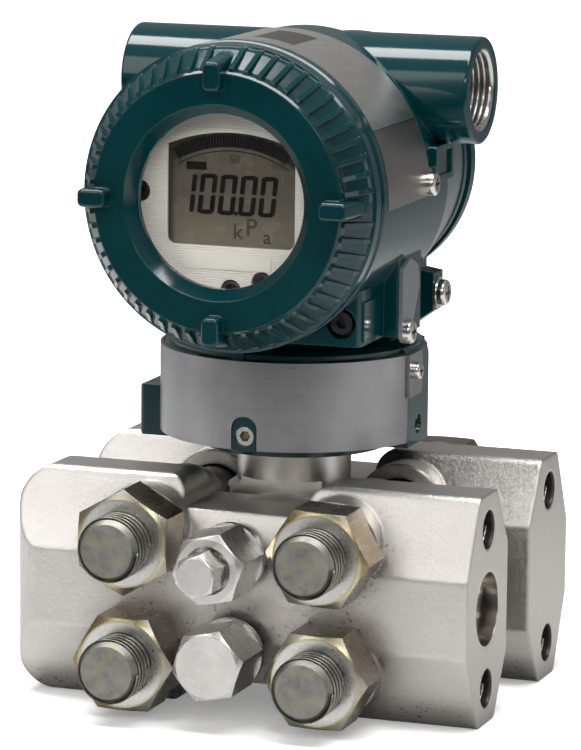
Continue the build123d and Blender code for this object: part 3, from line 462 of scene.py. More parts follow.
def blasted_casting():
    """Blasted stainless with machined end faces and port, with painted shade in its nooks and tapped
    holes.
    """
    base = tuple(colours().casting)
    finish = Finish("blasted_casting", Metallic=1.0)
    grain = finish.group("blasted_grain", Grain=1500.0)
    lines = finish.lines((300.0, 220.0, 5200.0))

    # Where the metal is machined
    port = finish.maths("LESS_THAN", finish.distance((0, 0, 0), (0, 1, 1)), PORT_R)
    port = finish.maths("MULTIPLY", port, finish.maths("GREATER_THAN", finish.x, NECK_AXIS.x))
    machined = finish.maths("GREATER_THAN", finish.x, -0.02 * MM)
    machined = finish.maths("MAXIMUM", machined, port)
    cast_share = finish.maths("SUBTRACT", 1.0, machined)
    off_y = finish.off_pair(finish.y, NECK_AXIS.y, PORT_SPACING / 2)
    off_z = finish.off_pair(finish.z, 0.0, TAPPED_Z)
    tapped = finish.maths("LESS_THAN", finish.diagonal(off_y, off_z), TAPPED_R)
    tapped = finish.maths("MULTIPLY", tapped, finish.maths("GREATER_THAN", finish.x, TAPPED_END))

    # Painted shade: darker where the surface lies in nooks, with darker specks there, less of it in
    # the port and full painted shade inside the tapped holes
    hollow = finish.named("ShaderNodeAmbientOcclusion", {"Distance": 9 * MM}, samples=6)
    hollow = hollow.outputs["AO"]
    specks = finish.noise(finish.coordinates, 900.0, 2.0, 0.6)
    specks = finish.spread(specks, 0.6, 0.0, 0.3, 0.4)
    specks = finish.maths("MULTIPLY", specks, finish.spread(hollow, 1.0, 0.05, 0.5, 0.95))
    unshaded_share = finish.maths("SUBTRACT", finish.spread(hollow, 0.3, 1.0, 0.25, 0.95), specks)
    unshaded_share = finish.maths("MAXIMUM", unshaded_share, finish.maths("MULTIPLY", port, 0.8))
    unshaded_share = finish.maths("MULTIPLY", unshaded_share, finish.maths("SUBTRACT", 1.0, tapped))

    cast = finish.blend(finish.mottle(38.0), shaded(base, 0.84), base)
    cast = finish.blend(finish.maths("MULTIPLY", grain["Shade"], 0.22), cast, shaded(base, 1.3))
    face = finish.blend(lines["Shade"], (0.44, 0.41, 0.385), (0.52, 0.49, 0.46))
    face = finish.blend(port, face, (0.62, 0.585, 0.55))
    metal = finish.blend(machined, cast, face)
    # Painted shade colour over the metal where the unshaded share is low
    finish.set("Base Color", finish.blend(unshaded_share, (0.10, 0.09, 0.08), metal))

    smooth = finish.spread(lines["Shade"], 0.36, 0.46)
    smooth = finish.maths("MULTIPLY_ADD", port, -0.2, smooth)
    rough = finish.spread(grain["Shade"], 0.32, 0.46)
    rough = finish.maths("MULTIPLY", rough, cast_share)
    finish.set("Roughness", finish.maths("MULTIPLY_ADD", smooth, machined, rough))

    soft = finish.soft_edges(finish.maths("MULTIPLY_ADD", port, -1.1 * MM, 1.4 * MM))
    wave = finish.noise(finish.coordinates, 130.0, 2.0, 0.5)
    uneven = finish.bump(finish.maths("MULTIPLY", wave, cast_share), 0.12, 0.4 * MM, soft)
    pits = finish.maths("MULTIPLY", grain["Height"], cast_share)
    finish.bump(pits, 0.6, 0.12 * MM, uneven)
    return finish.material


def plated_nut():
    """Plated film, with its silver ring and yellow-green rim on the front faces."""
    finish = Finish("plated_nut", Metallic=1.0)
    front = finish.maths("LESS_THAN", finish.y, low_corner("flange_nuts").y + NUT_FACE)
    film = finish.group("plated_film", Front=front)
    lines = finish.lines((700.0, 200.0, 700.0))
    worn = finish.maths("MULTIPLY", lines["Shade"], 0.1)
    finish.set("Base Color", finish.blend(worn, film["Color"], (0.26, 0.23, 0.18)))
    finish.set("Roughness", finish.spread(lines["Shade"], 0.25, 0.33))
    finish.bump(lines["Height"], 0.012, 0.08 * MM, finish.soft_edges(0.3 * MM))
    return finish.material


def stud_steel():
    """Grey alloy steel with brown specks, and the plated film on the hexagon heads at the rear."""
    finish = Finish("stud_steel", Metallic=1.0)
    steel = finish.blend(finish.mottle(260.0), (0.175, 0.173, 0.162), (0.30, 0.296, 0.272))
    specks = finish.noise(finish.coordinates, 520.0, 2.0, 0.5)
    specks = finish.spread(specks, 0.0, 0.6, 0.52, 0.66)
    steel = finish.blend(specks, steel, (0.27, 0.24, 0.13))
    film = finish.group("plated_film", Front=0.0)
    head = finish.maths("GREATER_THAN", finish.y, BOLT_HEAD_Y)
    finish.set("Base Color", finish.blend(head, steel, film["Color"]))
    tip = finish.maths("LESS_THAN", finish.y, low_corner("flange_bolts").y + BOLT_TIP)
    gloss = finish.mottle(300.0, 0.28, 0.4)
    finish.set("Roughness", finish.maths("MULTIPLY_ADD", tip, 0.2, gloss))
    lines = finish.lines((700.0, 700.0, 700.0))
    finish.bump(lines["Height"], 0.15, 0.08 * MM, finish.soft_edges(0.25 * MM))
    return finish.material


def machined_steel():
    """Bright turned stainless of the plugs, the vent screw and the thread ridges."""
    finish = Finish("machined_steel", Metallic=1.0)
    lines = finish.lines((380.0, 1400.0, 380.0))
    tone = finish.blend(finish.mottle(120.0), (0.52, 0.50, 0.48), (0.64, 0.62, 0.60))
    finish.set("Base Color", tone)
    finish.set("Roughness", finish.spread(lines["Shade"], 0.24, 0.36))
    finish.bump(lines["Height"], 0.1, 0.08 * MM, finish.soft_edges(0.3 * MM))
    return finish.material


def capsule_steel():
    """Turned steel of the capsule, with lines that run round its neck."""
    tones = (0.52, 0.50, 0.47), (0.64, 0.62, 0.59)
    finish, lines = drawn_finish("capsule_steel", tones, (0.30, 0.40), (260.0, 260.0, 3600.0))
    finish.bump(lines["Height"], 0.2, 0.08 * MM)
    return finish.material


def band_steel():
    """Satin sheet with lines that run round the collar."""
    finish = Finish("band_steel", Metallic=1.0)
    lines = finish.lines((55.0, 55.0, 4800.0))
    tone = finish.blend(finish.mottle(26.0), (0.19, 0.19, 0.195), (0.33, 0.33, 0.335))
    bright = finish.maths("MULTIPLY", lines["Shade"], 0.12)
    finish.set("Base Color", finish.blend(bright, tone, (0.46, 0.46, 0.46)))
    finish.set("Roughness", finish.spread(lines["Shade"], 0.27, 0.36))
    finish.bump(lines["Height"], 0.12, 0.06 * MM)
    return finish.material


def tag_steel():
    """Brushed strap with slanted lines, a darker bare field at its top, a painted shade line along
    its fold and painted shade below the fold.
    """
    finish = Finish("tag_steel", Metallic=1.0)
    across = finish.maths("SUBTRACT", finish.x, COVER_CENTRE.x)
    above = finish.maths("SUBTRACT", finish.z, COVER_CENTRE.z)
    along = finish.maths("MULTIPLY", finish.maths("ARCTAN2", across, above), STRAP_R)
    unrolled = finish.add("ShaderNodeCombineXYZ", along, finish.y).outputs[0]
    slanted = finish.turned(unrolled, (0, 0, STRAP_SLANT))
    lines = finish.lines((2600.0, 60.0, 1.0), slanted)
    stripe = finish.maths("MULTIPLY", finish.split(slanted)[0], 2 * math.pi / STRAP_STRIPE)
    stripe = finish.spread(finish.maths("SINE", stripe), 0.0, 0.8, -1.0, 1.0)
    shade = finish.maths("MULTIPLY_ADD", lines["Shade"], 0.4, stripe)
    tone = finish.blend(shade, (0.40, 0.385, 0.36), (0.74, 0.72, 0.69))
    front = low_corner("tag_plate").y
    field = finish.between(finish.y, front + 6.5 * MM, front + 25 * MM)
    field = finish.maths("MULTIPLY", field, finish.between(along, 0.8 * MM, 11.5 * MM))
    fold = finish.between(along, STRAP_FOLD - STRAP_FOLD_HALF, STRAP_FOLD + STRAP_FOLD_HALF)
    shade_below_fold = finish.maths("GREATER_THAN", along, STRAP_FOLD)
    # Darkened fields, with their mask, share and colour: the bare field, a painted shade line along
    # the fold and painted shade below the fold
    for mask, share, colour in (
        (field, 0.85, (0.11, 0.105, 0.10)),
        (fold, 0.75, (0.12, 0.12, 0.12)),
        (shade_below_fold, 0.6, (0.14, 0.135, 0.13)),
    ):
        tone = finish.blend(finish.maths("MULTIPLY", mask, share), tone, colour)
    finish.set("Base Color", tone)
    finish.set("Roughness", finish.spread(lines["Shade"], 0.28, 0.38))
    finish.bump(lines["Height"], 0.07, 0.06 * MM)
    return finish.material


def nickel_screw():
    """Bright plating of the small screws."""
    tones = (0.55, 0.53, 0.49), (0.72, 0.70, 0.66)
    finish = plain_finish("nickel_screw", tones, 420.0, (0.16, 0.28), 700.0, Metallic=1.0)
    fine = finish.noise(finish.coordinates, 2600.0, 2.0, 0.5)
    finish.bump(fine, 0.08, 0.05 * MM)
    return finish.material


def dark_screw():
    tones = (0.03, 0.031, 0.034), (0.07, 0.07, 0.075)
    return plain_finish("dark_screw", tones, 500.0, (0.3, 0.45), 800.0, Metallic=1.0).material


def black_screw():
    tones = (0.006, 0.006, 0.006), (0.02, 0.02, 0.02)
    return plain_finish("black_screw", tones, 500.0, (0.25, 0.4), 800.0, IOR=1.5).material


def grey_cover_plate():
    finish = Finish("grey_cover_plate", Metallic=0.6)
    grain = finish.group("blasted_grain", Grain=3200.0)
    tone = finish.blend(grain["Shade"], (0.17, 0.18, 0.195), (0.22, 0.23, 0.245))
    finish.set("Base Color", tone)
    finish.set("Roughness", finish.spread(grain["Shade"], 0.42, 0.52))
    finish.bump(grain["Height"], 0.2, 0.05 * MM)
    return finish.material


def ribbed_surround():
    """Off-white moulding with fine level ribs all over but on its plaque, and painted shade in the
    valleys between the ribs.
    """
    base = tuple(colours().bezel)
    finish = Finish("ribbed_surround", IOR=1.46)
    turn = 2 * math.pi / sizes().bezel_rib_pitch
    wave = finish.maths("SINE", finish.maths("MULTIPLY", finish.z, turn))
    plaque_depth = low_corner("indicator_bezel").y + 0.12 * MM
    plaque = finish.maths("LESS_THAN", finish.y, plaque_depth)
    ribs = finish.maths("MULTIPLY", wave, finish.maths("SUBTRACT", 1.0, plaque))
    # Painted shade: the colour darkens towards the valleys of the ribs
    shade = finish.spread(ribs, 0.72, 1.0, -1.0, 1.0)
    shade = finish.maths("MULTIPLY", shade, finish.mottle(70.0, 0.94, 1.0))
    finish.set("Base Color", finish.blend(shade, shaded(base, 0.3), base))
    finish.set("Roughness", finish.spread(ribs, 0.42, 0.52, -1.0, 1.0))
    finish.bump(ribs, 0.4, 0.1 * MM)
    return finish.material


def display_face():
    """Grey-brown display, paler towards its foot, with a dark field behind its scale and painted
    shade above it under its top edge, and a painted shadow at its left edge.
    """
    top = tuple(colours().display_top)
    foot = tuple(colours().display_foot)
    finish = Finish("display_face", IOR=1.5, Specular_IOR_Level=0.25)
    low = low_corner("lcd_panel").z
    middle = (low + high_corner("lcd_panel").z) / 2
    rise = finish.spread(finish.z, 0.0, 0.42, low, middle, smooth=True)
    tone = finish.blend(rise, foot, top)
    # Dark field behind the bar scale, and painted shade above it towards the display's top edge
    arch = COVER_CENTRE - Vector((0, 0, SCALE_DROP * MM))
    out = finish.distance(arch, (1, 0, 1))
    inner = (SCALE_INNER - 0.4) * MM, (SCALE_INNER + 0.5) * MM
    outer = (SCALE_OUTER + 0.1) * MM, (SCALE_OUTER + 0.9) * MM
    band = finish.spread(out, 0.0, 0.8, *inner, smooth=True)
    edge = finish.spread(out, 0.0, 0.3, *outer, smooth=True)
    # Painted shadow along the left edge of the display
    left = low_corner("lcd_panel").x
    side = finish.spread(finish.x, 0.85, 0.0, left, left + 2.4 * MM, smooth=True)
    shadow = finish.maths("MAXIMUM", finish.maths("SUBTRACT", band, edge), side)
    tone = finish.blend(shadow, tone, top)
    fine = finish.noise(finish.coordinates, 900.0, 2.0, 0.5)
    finish.set("Base Color", finish.blend(finish.maths("MULTIPLY", fine, 0.16), tone, top))
    finish.set("Roughness", finish.mottle(200.0, 0.22, 0.3))
    finish.bump(fine, 0.05, 0.03 * MM)
    return finish.material


def ink(name, tones):
    """Print of the display, nearly without gloss."""
    sockets = {"IOR": 1.45, "Specular_IOR_Level": 0.05}
    return plain_finish(name, tones, 700.0, (0.35, 0.45), 500.0, **sockets).material


def window_glass():
    """Clear glass that lets the studio light through to the display."""
    tones = (0.96, 0.975, 0.965), (0.99, 1.0, 0.99)
    sockets = {"IOR": 1.45, "Transmission_Weight": 1.0}
    finish = plain_finish("window_glass", tones, 30.0, (0.005, 0.012), 60.0, **sockets)
    shadow_ray = finish.add("ShaderNodeLightPath").outputs["Is Shadow Ray"]
    clear = finish.add("ShaderNodeBsdfTransparent").outputs[0]
    finish.show(finish.add("ShaderNodeMixShader", shadow_ray, finish.shader.outputs[0], clear))
    return finish.material


def seal_rubber():
    tones = (0.008, 0.008, 0.008), (0.02, 0.02, 0.02)
    return plain_finish("seal_rubber", tones, 300.0, (0.5, 0.65), 500.0, IOR=1.5).material


def seal_white():
    tones = (0.62, 0.61, 0.58), (0.72, 0.71, 0.68)
    return plain_finish("seal_white", tones, 300.0, (0.4, 0.5), 500.0, IOR=1.4).material


def circuit_board():
    """Green board with a faint pattern of tracks."""
    finish = Finish("circuit_board", IOR=1.5)
    tracks = {
        "Vector": finish.turned(finish.coordinates, (math.radians(90), 0, 0)),
        "Scale": 300.0,
        "Color1": (0.010, 0.075, 0.030),
        "Color2": (0.014, 0.095, 0.040),
        "Mortar": (0.030, 0.160, 0.070),
    }
    brick = finish.named("ShaderNodeTexBrick", tracks)
    finish.set("Base Color", brick.outputs["Color"])
    finish.set("Roughness", finish.mottle(300.0, 0.3, 0.42))
    finish.bump(brick.outputs["Fac"], 0.2, 0.05 * MM)
    return finish.material


def moulded_terminal():
    finish = Finish("moulded_terminal", IOR=1.5)
    tone = finish.blend(finish.mottle(300.0), (0.02, 0.02, 0.022), (0.04, 0.04, 0.043))
    finish.set("Base Color", tone)
    grain = finish.group("blasted_grain", Grain=2600.0)
    finish.set("Roughness", finish.spread(grain["Shade"], 0.4, 0.52))
    finish.bump(grain["Height"], 0.15, 0.05 * MM)
    return finish.material


def spacer_metal():
    tones = (0.45, 0.45, 0.46), (0.58, 0.58, 0.59)
    return drawn_finish("spacer_metal", tones, (0.3, 0.4), (600.0, 3000.0, 600.0))[0].material


SMALL_SCREWS = (
    "set_screws", "band_screw", "tag_plate_screw", "zero_adjust_screw", "zero_cover_screw",
    "ground_washer", "ground_screw", "terminal_screws", "terminal_fixing_screws",
)
SEALS = ("front_cover_o_ring", "rear_cover_o_ring", "window_gasket", "neck_o_ring")
FINISHES = {
    "blasted_casting": (blasted_casting, ("front_cover_flange", "rear_cover_flange")),
    "plated_nut": (plated_nut, ("flange_nuts",)),
    "stud_steel": (stud_steel, ("flange_bolts",)),
    "machined_steel": (machined_steel, ("vent_plug", "vent_screw", "drain_plug")),
    "capsule_steel": (capsule_steel, ("sensor_capsule", "isolating_diaphragms")),
    "housing_paint": (housing_paint, ("housing", "front_cover", "rear_cover")),
    "band_steel": (band_steel, ("collar_band",)),
    "tag_steel": (tag_steel, ("tag_plate",)),
    "nickel_screw": (nickel_screw, SMALL_SCREWS),
    "dark_screw": (dark_screw, ("cover_lock_screws",)),
    "grey_cover_plate": (grey_cover_plate, ("zero_screw_cover",)),
    "seal_rubber": (seal_rubber, SEALS),
    "seal_white": (seal_white, ("flange_gaskets",)),
    "window_glass": (window_glass, ("window_glass",)),
    "ribbed_surround": (ribbed_surround, ("indicator_bezel",)),
    "display_face": (display_face, ("lcd_panel",)),
    "black_screw": (black_screw, ("indicator_screws",)),
    "circuit_board": (circuit_board, ("indicator_board", "cpu_board")),
    "moulded_terminal": (moulded_terminal, ("terminal_block",)),
    "spacer_metal": (spacer_metal, ("board_standoffs", "window_retainer")),
}
INKS = {
    "display_ink": ((0.003, 0.0025, 0.002), (0.007, 0.0055, 0.0045)),
    "faint_ink": ((0.045, 0.038, 0.028), (0.075, 0.064, 0.048)),
}
MATERIALS = {}


# Modelling helpers
def set_mode(mode):
    bpy.ops.object.mode_set(mode=mode)


def clear_selection():
    if bpy.context.object is not None and bpy.context.object.mode != "OBJECT":
        set_mode("OBJECT")
    bpy.ops.object.select_all(action="DESELECT")


def choose(piece):
    clear_selection()
    piece.select_set(True)
    bpy.context.view_layer.objects.active = piece


def new_piece(name):
    """Takes the piece that is active under a name of its own."""
    piece = bpy.context.object
    piece.name = name
    piece.data.name = name
    return piece


def apply_place():
    bpy.ops.object.transform_apply(location=True, rotation=True, scale=True)


def finished(piece, body, material):
    """Puts the place into the mesh, then gives the piece its body, slot and finish."""
    choose(piece)
    apply_place()
    piece.data.materials.clear()
    piece.data.materials.append(material)
    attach(piece, body)


def joined(pieces, name):
    choose(pieces[0])
    for piece in pieces[1:]:
        piece.select_set(True)
    bpy.ops.object.join()
    return new_piece(name)


def copies(piece, places, name):
    """Copies of a piece at the given matrices, each with its own mesh, joined as one piece."""
    made = []
    for place in places:
        other = piece.copy()
        other.data = piece.data.copy()
        other.data.transform(place)
        bpy.context.scene.collection.objects.link(other)
        made.append(other)
    bpy.data.objects.remove(piece)
    return joined(made, name)


def thread_ridge(name, root_r, crest_r, pitch, length):
    """Closed helical ridge round the X axis, from X = 0 to the length."""
    clear_selection()
    bpy.ops.mesh.primitive_circle_add(
        vertices=3, radius=pitch / math.sqrt(3), fill_type="NOTHING"
    )
    ridge = new_piece(name)
    height = crest_r - root_r
    set_mode("EDIT")
    bpy.ops.mesh.select_all(action="SELECT")
    bpy.ops.transform.resize(value=(0.94, height / (pitch * math.sqrt(3) / 2), 1))
    bpy.ops.transform.translate(value=(pitch / 2, root_r + height / 3, 0))
    set_mode("OBJECT")
    turn = ridge.modifiers.new("turn", "SCREW")
    turn.axis = "X"
    turn.steps = 40
    turn.render_steps = 40
    turn.iterations = max(1, round(length / pitch) - 1)
    turn.screw_offset = pitch
    turn.use_merge_vertices = True
    bpy.ops.object.modifier_apply(modifier=turn.name)
    set_mode("EDIT")
    bpy.ops.mesh.select_all(action="SELECT")
    bpy.ops.mesh.remove_doubles(threshold=0.001 * MM)
    bpy.ops.mesh.fill_holes(sides=4)
    bpy.ops.mesh.normals_make_consistent(inside=False)
    set_mode("OBJECT")
    return ridge


def ink_bar(name, width, height, corner=0.3):
    """Flat bar with clipped corners, its back on Y = 0 and its face to the front."""
    clear_selection()
    bpy.ops.mesh.primitive_cube_add(
        size=1, location=(0, -INK_THICK / 2, 0), scale=(width, INK_THICK, height)
    )
    bar = new_piece(name)
    apply_place()
    set_mode("EDIT")
    bpy.ops.mesh.select_all(action="DESELECT")
    set_mode("OBJECT")
    for edge in bar.data.edges:
        first, second = (bar.data.vertices[i].co for i in edge.vertices)
        edge.select = abs(first.y - second.y) > INK_THICK / 2
    set_mode("EDIT")
    bpy.ops.mesh.bevel(offset=min(width, height) * corner, segments=2)
    set_mode("OBJECT")
    return bar


def display_place(x, z):
    """Matrix of a place on the display face, from millimetres off the cover axis."""
    face = low_corner("lcd_panel").y
    return Matrix.Translation((COVER_CENTRE.x + x * MM, face, COVER_CENTRE.z + z * MM))


# Operators
class TransmitterFinishes(bpy.types.Operator):
    """Give each CAD node its finish"""

    bl_idname = "transmitter.finishes"
    bl_label = "Finishes"

    def execute(self, context):
        surface_mottle_group()
        blasted_grain_group()
        drawn_lines_group()
        plated_film_group()
        for name, (make, nodes) in FINISHES.items():
            MATERIALS[name] = make()
            for node in nodes:
                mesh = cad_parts[node].data
                for index in range(len(mesh.materials)):
                    mesh.materials[index] = MATERIALS[name]
        for name, tones in INKS.items():
            MATERIALS[name] = ink(name, tones)
        return {"FINISHED"}


class TransmitterEntryThreads(bpy.types.Operator):
    """Add the thread ridges inside both cable entries"""

    bl_idname = "transmitter.entry_threads"
    bl_label = "Entry threads"

    def execute(self, context):
        pitch = sizes().entry_pitch
        ridge = thread_ridge("entry_threads", ENTRY_ROOT_R, ENTRY_CREST_R, pitch, ENTRY_LENGTH)
        right = Matrix.Translation((TUBE_RIGHT - ENTRY_DEPTH, TUBE_Y, TUBE_Z))
        left = Matrix.Translation((TUBE_LEFT + ENTRY_DEPTH, TUBE_Y, TUBE_Z))
        left = left @ Matrix.Rotation(math.pi, 4, "Z")
        ridge = copies(ridge, (right, left), "entry_threads")
        finished(ridge, "transmitter_section", MATERIALS["machined_steel"])
        return {"FINISHED"}


class TransmitterTappedThreads(bpy.types.Operator):
    """Add the thread ridges inside the tapped holes of both flanges"""

    bl_idname = "transmitter.tapped_threads"
    bl_label = "Tapped threads"

    def execute(self, context):
        pitch = sizes().tapped_pitch
        ridge = thread_ridge("tapped_threads", TAPPED_ROOT_R, TAPPED_CREST_R, pitch, TAPPED_LENGTH)
        places = [
            Matrix.Translation((TAPPED_START, y, z))
            for y in (0, PORT_SPACING)
            for z in (-TAPPED_Z, TAPPED_Z)
        ]
        ridge = copies(ridge, places, "tapped_threads")
        finished(ridge, "meter_body", MATERIALS["machined_steel"])
        return {"FINISHED"}


class TransmitterStudThreads(bpy.types.Operator):
    """Add the thread ridges on the stud ends in front of the nuts"""

    bl_idname = "transmitter.stud_threads"
    bl_label = "Stud threads"

    def execute(self, context):
        start = low_corner("flange_nuts").y
        length = start - low_corner("flange_bolts").y - NUT_FACE + STUD_OVERLAP
        pitch = sizes().stud_pitch
        ridge = thread_ridge("stud_threads", STUD_ROOT_R, STUD_CREST_R, pitch, length)
        forward = Matrix.Rotation(-math.pi / 2, 4, "Z")
        places = [
            Matrix.Translation((NECK_AXIS.x + x, start, z)) @ forward
            for x in (-BOLT_X, BOLT_X)
            for z in (-BOLT_Z, BOLT_Z)
        ]
        ridge = copies(ridge, places, "stud_threads")
        finished(ridge, "meter_body", MATERIALS["stud_steel"])
        return {"FINISHED"}


class TransmitterFigures(bpy.types.Operator):
    """Add the large segment figures of the display"""

    bl_idname = "transmitter.figures"
    bl_label = "Display figures"

    def execute(self, context):
        tall = sizes().figure_height
        half = tall / 2
        side = (FIGURE_WIDTH - FIGURE_STROKE) / 2
        end = half - FIGURE_STROKE / 2
        places = {
            "a": (0, end),
            "b": (side, half / 2),
            "c": (side, -half / 2),
            "d": (0, -end),
            "e": (-side, -half / 2),
            "f": (-side, half / 2),
        }
        slant = Matrix.Identity(4)
        slant[0][2] = math.tan(FIGURE_SLANT)
        upright = ink_bar("upright", FIGURE_STROKE, half - 0.7 * MM)
        level = ink_bar("level", FIGURE_WIDTH - 1.0 * MM, FIGURE_STROKE * 0.92)
        levels = []
        uprights = []
        for index, figure in enumerate(FIGURES):
            centre = FIGURES_LEFT + index * sizes().figure_pitch / MM
            base = display_place(centre, FIGURES_MIDDLE) @ slant
            for segment in FIGURE_SEGMENTS[figure]:
                x, z = places[segment]
                target = levels if segment in "ad" else uprights
                target.append(base @ Matrix.Translation((x, 0, z)))
        strokes = copies(upright, uprights, "figure_uprights")
        bars = copies(level, levels, "figure_levels")
        point = ink_bar("figure_point", 0.85 * MM, 0.95 * MM)
        point.data.transform(display_place(1.08, FIGURES_MIDDLE - half / MM + 0.5))
        figures = joined((strokes, bars, point), "display_figures")
        finished(figures, "transmitter_section", MATERIALS["display_ink"])
        return {"FINISHED"}


class TransmitterScale(bpy.types.Operator):
    """Add the arched bar scale of the display with its line and status field"""

    bl_idname = "transmitter.scale"
    bl_label = "Display scale"

    def execute(self, context):
        bar = ink_bar("scale_bars", 0.62 * MM, (SCALE_OUTER - SCALE_INNER) * MM, corner=0.1)
        bars = self.arched(bar, range(-20, 21), (SCALE_OUTER + SCALE_INNER) / 2)
        dash = ink_bar("scale_line", 0.72 * MM, 0.26 * MM, corner=0.05)
        line = self.arched(dash, range(-21, 23), SCALE_INNER - 0.95)
        field = ink_bar("status_field", 5.3 * MM, 2.0 * MM, corner=0.12)
        field.data.transform(display_place(-9.5, 7.7))
        scale = joined((bars, line, field), "display_scale")
        finished(scale, "transmitter_section", MATERIALS["display_ink"])
        return {"FINISHED"}

    def arched(self, bar, steps, out):
        """Copies of a bar round the centre of the arch, at a distance in millimetres."""
        places = []
        for step in steps:
            turn = Matrix.Rotation(math.radians(step * SCALE_STEP), 4, "Y")
            rise = Matrix.Translation((0, 0, out * MM))
            places.append(display_place(0, -SCALE_DROP) @ turn @ rise)
        return copies(bar, places, bar.name)


class TransmitterSmallFigures(bpy.types.Operator):
    """Add the small plain numbers and the unit of the display"""

    bl_idname = "transmitter.small_figures"
    bl_label = "Small figures"

    def execute(self, context):
        made = []
        for text, x, z, height in SMALL_FIGURES:
            clear_selection()
            bpy.ops.object.text_add(location=(0, 0, 0))
            letters = bpy.context.object.data
            letters.body = text
            letters.size = height * MM * 1.25
            letters.align_x = "CENTER"
            letters.align_y = "CENTER"
            letters.extrude = INK_THICK
            letters.offset = 0.06 * MM
            letters.resolution_u = 4
            bpy.ops.object.convert(target="MESH")
            piece = bpy.context.object
            piece.data.transform(display_place(x, z) @ Matrix.Rotation(math.pi / 2, 4, "X"))
            made.append(piece)
        words = joined(made, "display_small_figures")
        finished(words, "transmitter_section", MATERIALS["faint_ink"])
        return {"FINISHED"}


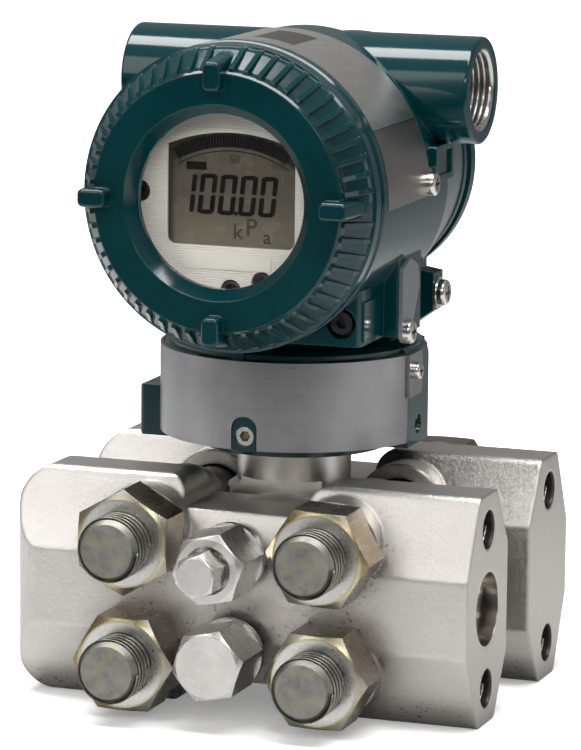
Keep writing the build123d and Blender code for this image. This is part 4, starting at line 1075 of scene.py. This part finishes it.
class TransmitterStage(bpy.types.Operator):
    """Add the floor, the soft studio lights and the camera"""

    bl_idname = "transmitter.stage"
    bl_label = "Studio"

    def execute(self, context):
        self.add_floor()
        self.add_world()
        for lamp in LAMPS:
            self.add_light(*lamp)
        self.add_camera()
        context.scene.view_settings.view_transform = "Standard"
        return {"FINISHED"}

    def add_floor(self):
        """White to the camera and in glass, darker in metal ahead of and beyond the part."""
        clear_selection()
        low = CAD_BOX[0][2]
        bpy.ops.mesh.primitive_plane_add(size=FLOOR_SIZE, location=(0, 0, low))
        floor = new_piece("floor")
        set_mode("EDIT")
        bpy.ops.mesh.subdivide(number_cuts=1)
        set_mode("OBJECT")
        apply_place()
        finish = Finish("floor_white", Roughness=0.9, Specular_IOR_Level=0.1)
        path = finish.add("ShaderNodeLightPath").outputs
        mirrored = path["Is Glossy Ray"]
        ahead = finish.maths("SUBTRACT", NECK_AXIS.y, finish.y)
        ahead = finish.spread(ahead, 0.3, 0.95, 0.16, 0.5, smooth=True)
        beyond = finish.maths("SUBTRACT", finish.y, NECK_AXIS.y)
        beyond = finish.spread(beyond, 0.0, 0.7, 0.08, 0.4, smooth=True)
        lost = finish.maths("MULTIPLY", finish.maths("MAXIMUM", ahead, beyond), mirrored)
        kept = finish.maths("SUBTRACT", 1.0, lost)
        shade = finish.maths("MULTIPLY", finish.mottle(3.0, 0.97, 1.0), kept)
        finish.set("Base Color", finish.blend(shade, (0, 0, 0), tuple(colours().floor)))
        seen = finish.maths("MULTIPLY", mirrored, 0.25)
        for ray in ("Is Camera Ray", "Is Transmission Ray"):
            seen = finish.maths("MAXIMUM", seen, path[ray])
        under = (NECK_AXIS.x, NECK_AXIS.y, low)
        far = finish.vector_maths("DISTANCE", finish.coordinates, under)
        far = finish.spread(far, 0.25, 1.0, 0.14, 0.5, smooth=True)
        glow = finish.maths("MULTIPLY", seen, finish.maths("MULTIPLY", far, kept))
        light = finish.add("ShaderNodeEmission", (1, 1, 1), glow).outputs[0]
        finish.show(finish.add("ShaderNodeAddShader", finish.shader.outputs[0], light))
        floor.data.materials.append(finish.material)

    def add_world(self):
        """White to the camera, with soft pale fields for the metal and glass to mirror."""
        world = bpy.data.worlds.new("studio")
        world.use_nodes = True
        bpy.context.scene.world = world
        nodes = Nodes(world.node_tree)
        path = nodes.add("ShaderNodeLightPath").outputs
        x, y, z = nodes.split(nodes.add("ShaderNodeTexCoord").outputs["Generated"])
        over = nodes.spread(z, 0.0, 0.22, 0.45, 0.8, smooth=True)
        beside = nodes.spread(x, 0.28, 0.0, -0.9, -0.5, smooth=True)
        behind = nodes.spread(y, 0.03, 0.15, -0.4, 0.6)
        mirrored = nodes.maths("ADD", nodes.maths("ADD", over, beside), behind)
        away = nodes.maths("MAXIMUM", path["Is Glossy Ray"], path["Is Transmission Ray"])
        mirrored = nodes.maths("MULTIPLY", mirrored, away)
        fill = nodes.maths("MULTIPLY", nodes.spread(z, 0.3, 1.0, -0.3, 0.7), 0.35)
        strength = nodes.maths("MAXIMUM", mirrored, fill)
        strength = nodes.maths("MAXIMUM", path["Is Camera Ray"], strength)
        back = world.node_tree.nodes["Background"]
        nodes.feed((1, 1, 1), back.inputs["Color"])
        nodes.feed(strength, back.inputs["Strength"])

    def add_light(self, name, place, width, height, power):
        lamp = bpy.data.lights.new(name, "AREA")
        lamp.shape = "RECTANGLE"
        lamp.size = width
        lamp.size_y = height
        lamp.energy = power
        holder = bpy.data.objects.new(name, lamp)
        holder.location = place
        aim = (LAMP_TARGET - Vector(place)).to_track_quat("-Z", "Y")
        holder.rotation_euler = aim.to_euler()
        bpy.context.scene.collection.objects.link(holder)

    def add_camera(self):
        azimuth, elevation, roll = CAMERA_AZIMUTH, CAMERA_ELEVATION, CAMERA_ROLL
        level = Vector((math.sin(azimuth), -math.cos(azimuth), 0)) * math.cos(elevation)
        back = level + Vector((0, 0, math.sin(elevation)))
        right = Vector((math.cos(azimuth), math.sin(azimuth), 0))
        up = back.cross(right)
        place = NECK_AXIS + back * CAMERA_DISTANCE + right * CAMERA_RIGHT + up * CAMERA_UP
        turned_right = right * math.cos(roll) + up * math.sin(roll)
        turned_up = up * math.cos(roll) - right * math.sin(roll)
        data = bpy.data.cameras.new("camera")
        data.sensor_width = SENSOR_MM
        data.lens = CAMERA_FOCAL_PIXELS / PICTURE_HEIGHT * SENSOR_MM
        data.clip_start = 0.01
        data.clip_end = 20
        camera = bpy.data.objects.new("camera", data)
        axes = Matrix((turned_right, turned_up, back)).transposed().to_4x4()
        camera.matrix_world = Matrix.Translation(place) @ axes
        bpy.context.scene.collection.objects.link(camera)
        bpy.context.scene.camera = camera


STEPS = (
    TransmitterFinishes,
    TransmitterEntryThreads,
    TransmitterTappedThreads,
    TransmitterStudThreads,
    TransmitterFigures,
    TransmitterScale,
    TransmitterSmallFigures,
    TransmitterStage,
)


class TransmitterPanel(bpy.types.Panel):
    """Sidebar panel with the sizes, the colours and one button for each step"""

    bl_idname = "VIEW3D_PT_transmitter"
    bl_label = "Transmitter"
    bl_space_type = "VIEW_3D"
    bl_region_type = "UI"
    bl_category = "Transmitter"

    def draw(self, context):
        layout = self.layout
        for values in (context.scene.transmitter_sizes, context.scene.transmitter_colours):
            box = layout.box()
            for name in values.bl_rna.properties.keys():
                if name not in ("rna_type", "name"):
                    box.prop(values, name)
        for step in STEPS:
            layout.operator(step.bl_idname)


CLASSES = (TransmitterSizes, TransmitterColours) + STEPS + (TransmitterPanel,)


def register():
    for item in CLASSES:
        bpy.utils.register_class(item)
    bpy.types.Scene.transmitter_sizes = bpy.props.PointerProperty(type=TransmitterSizes)
    bpy.types.Scene.transmitter_colours = bpy.props.PointerProperty(type=TransmitterColours)


def unregister():
    del bpy.types.Scene.transmitter_colours
    del bpy.types.Scene.transmitter_sizes
    for item in reversed(CLASSES):
        bpy.utils.unregister_class(item)


def main():
    register()
    for step in STEPS:
        group, name = step.bl_idname.split(".")
        getattr(getattr(bpy.ops, group), name)()


if __name__ == "__main__":
    main()
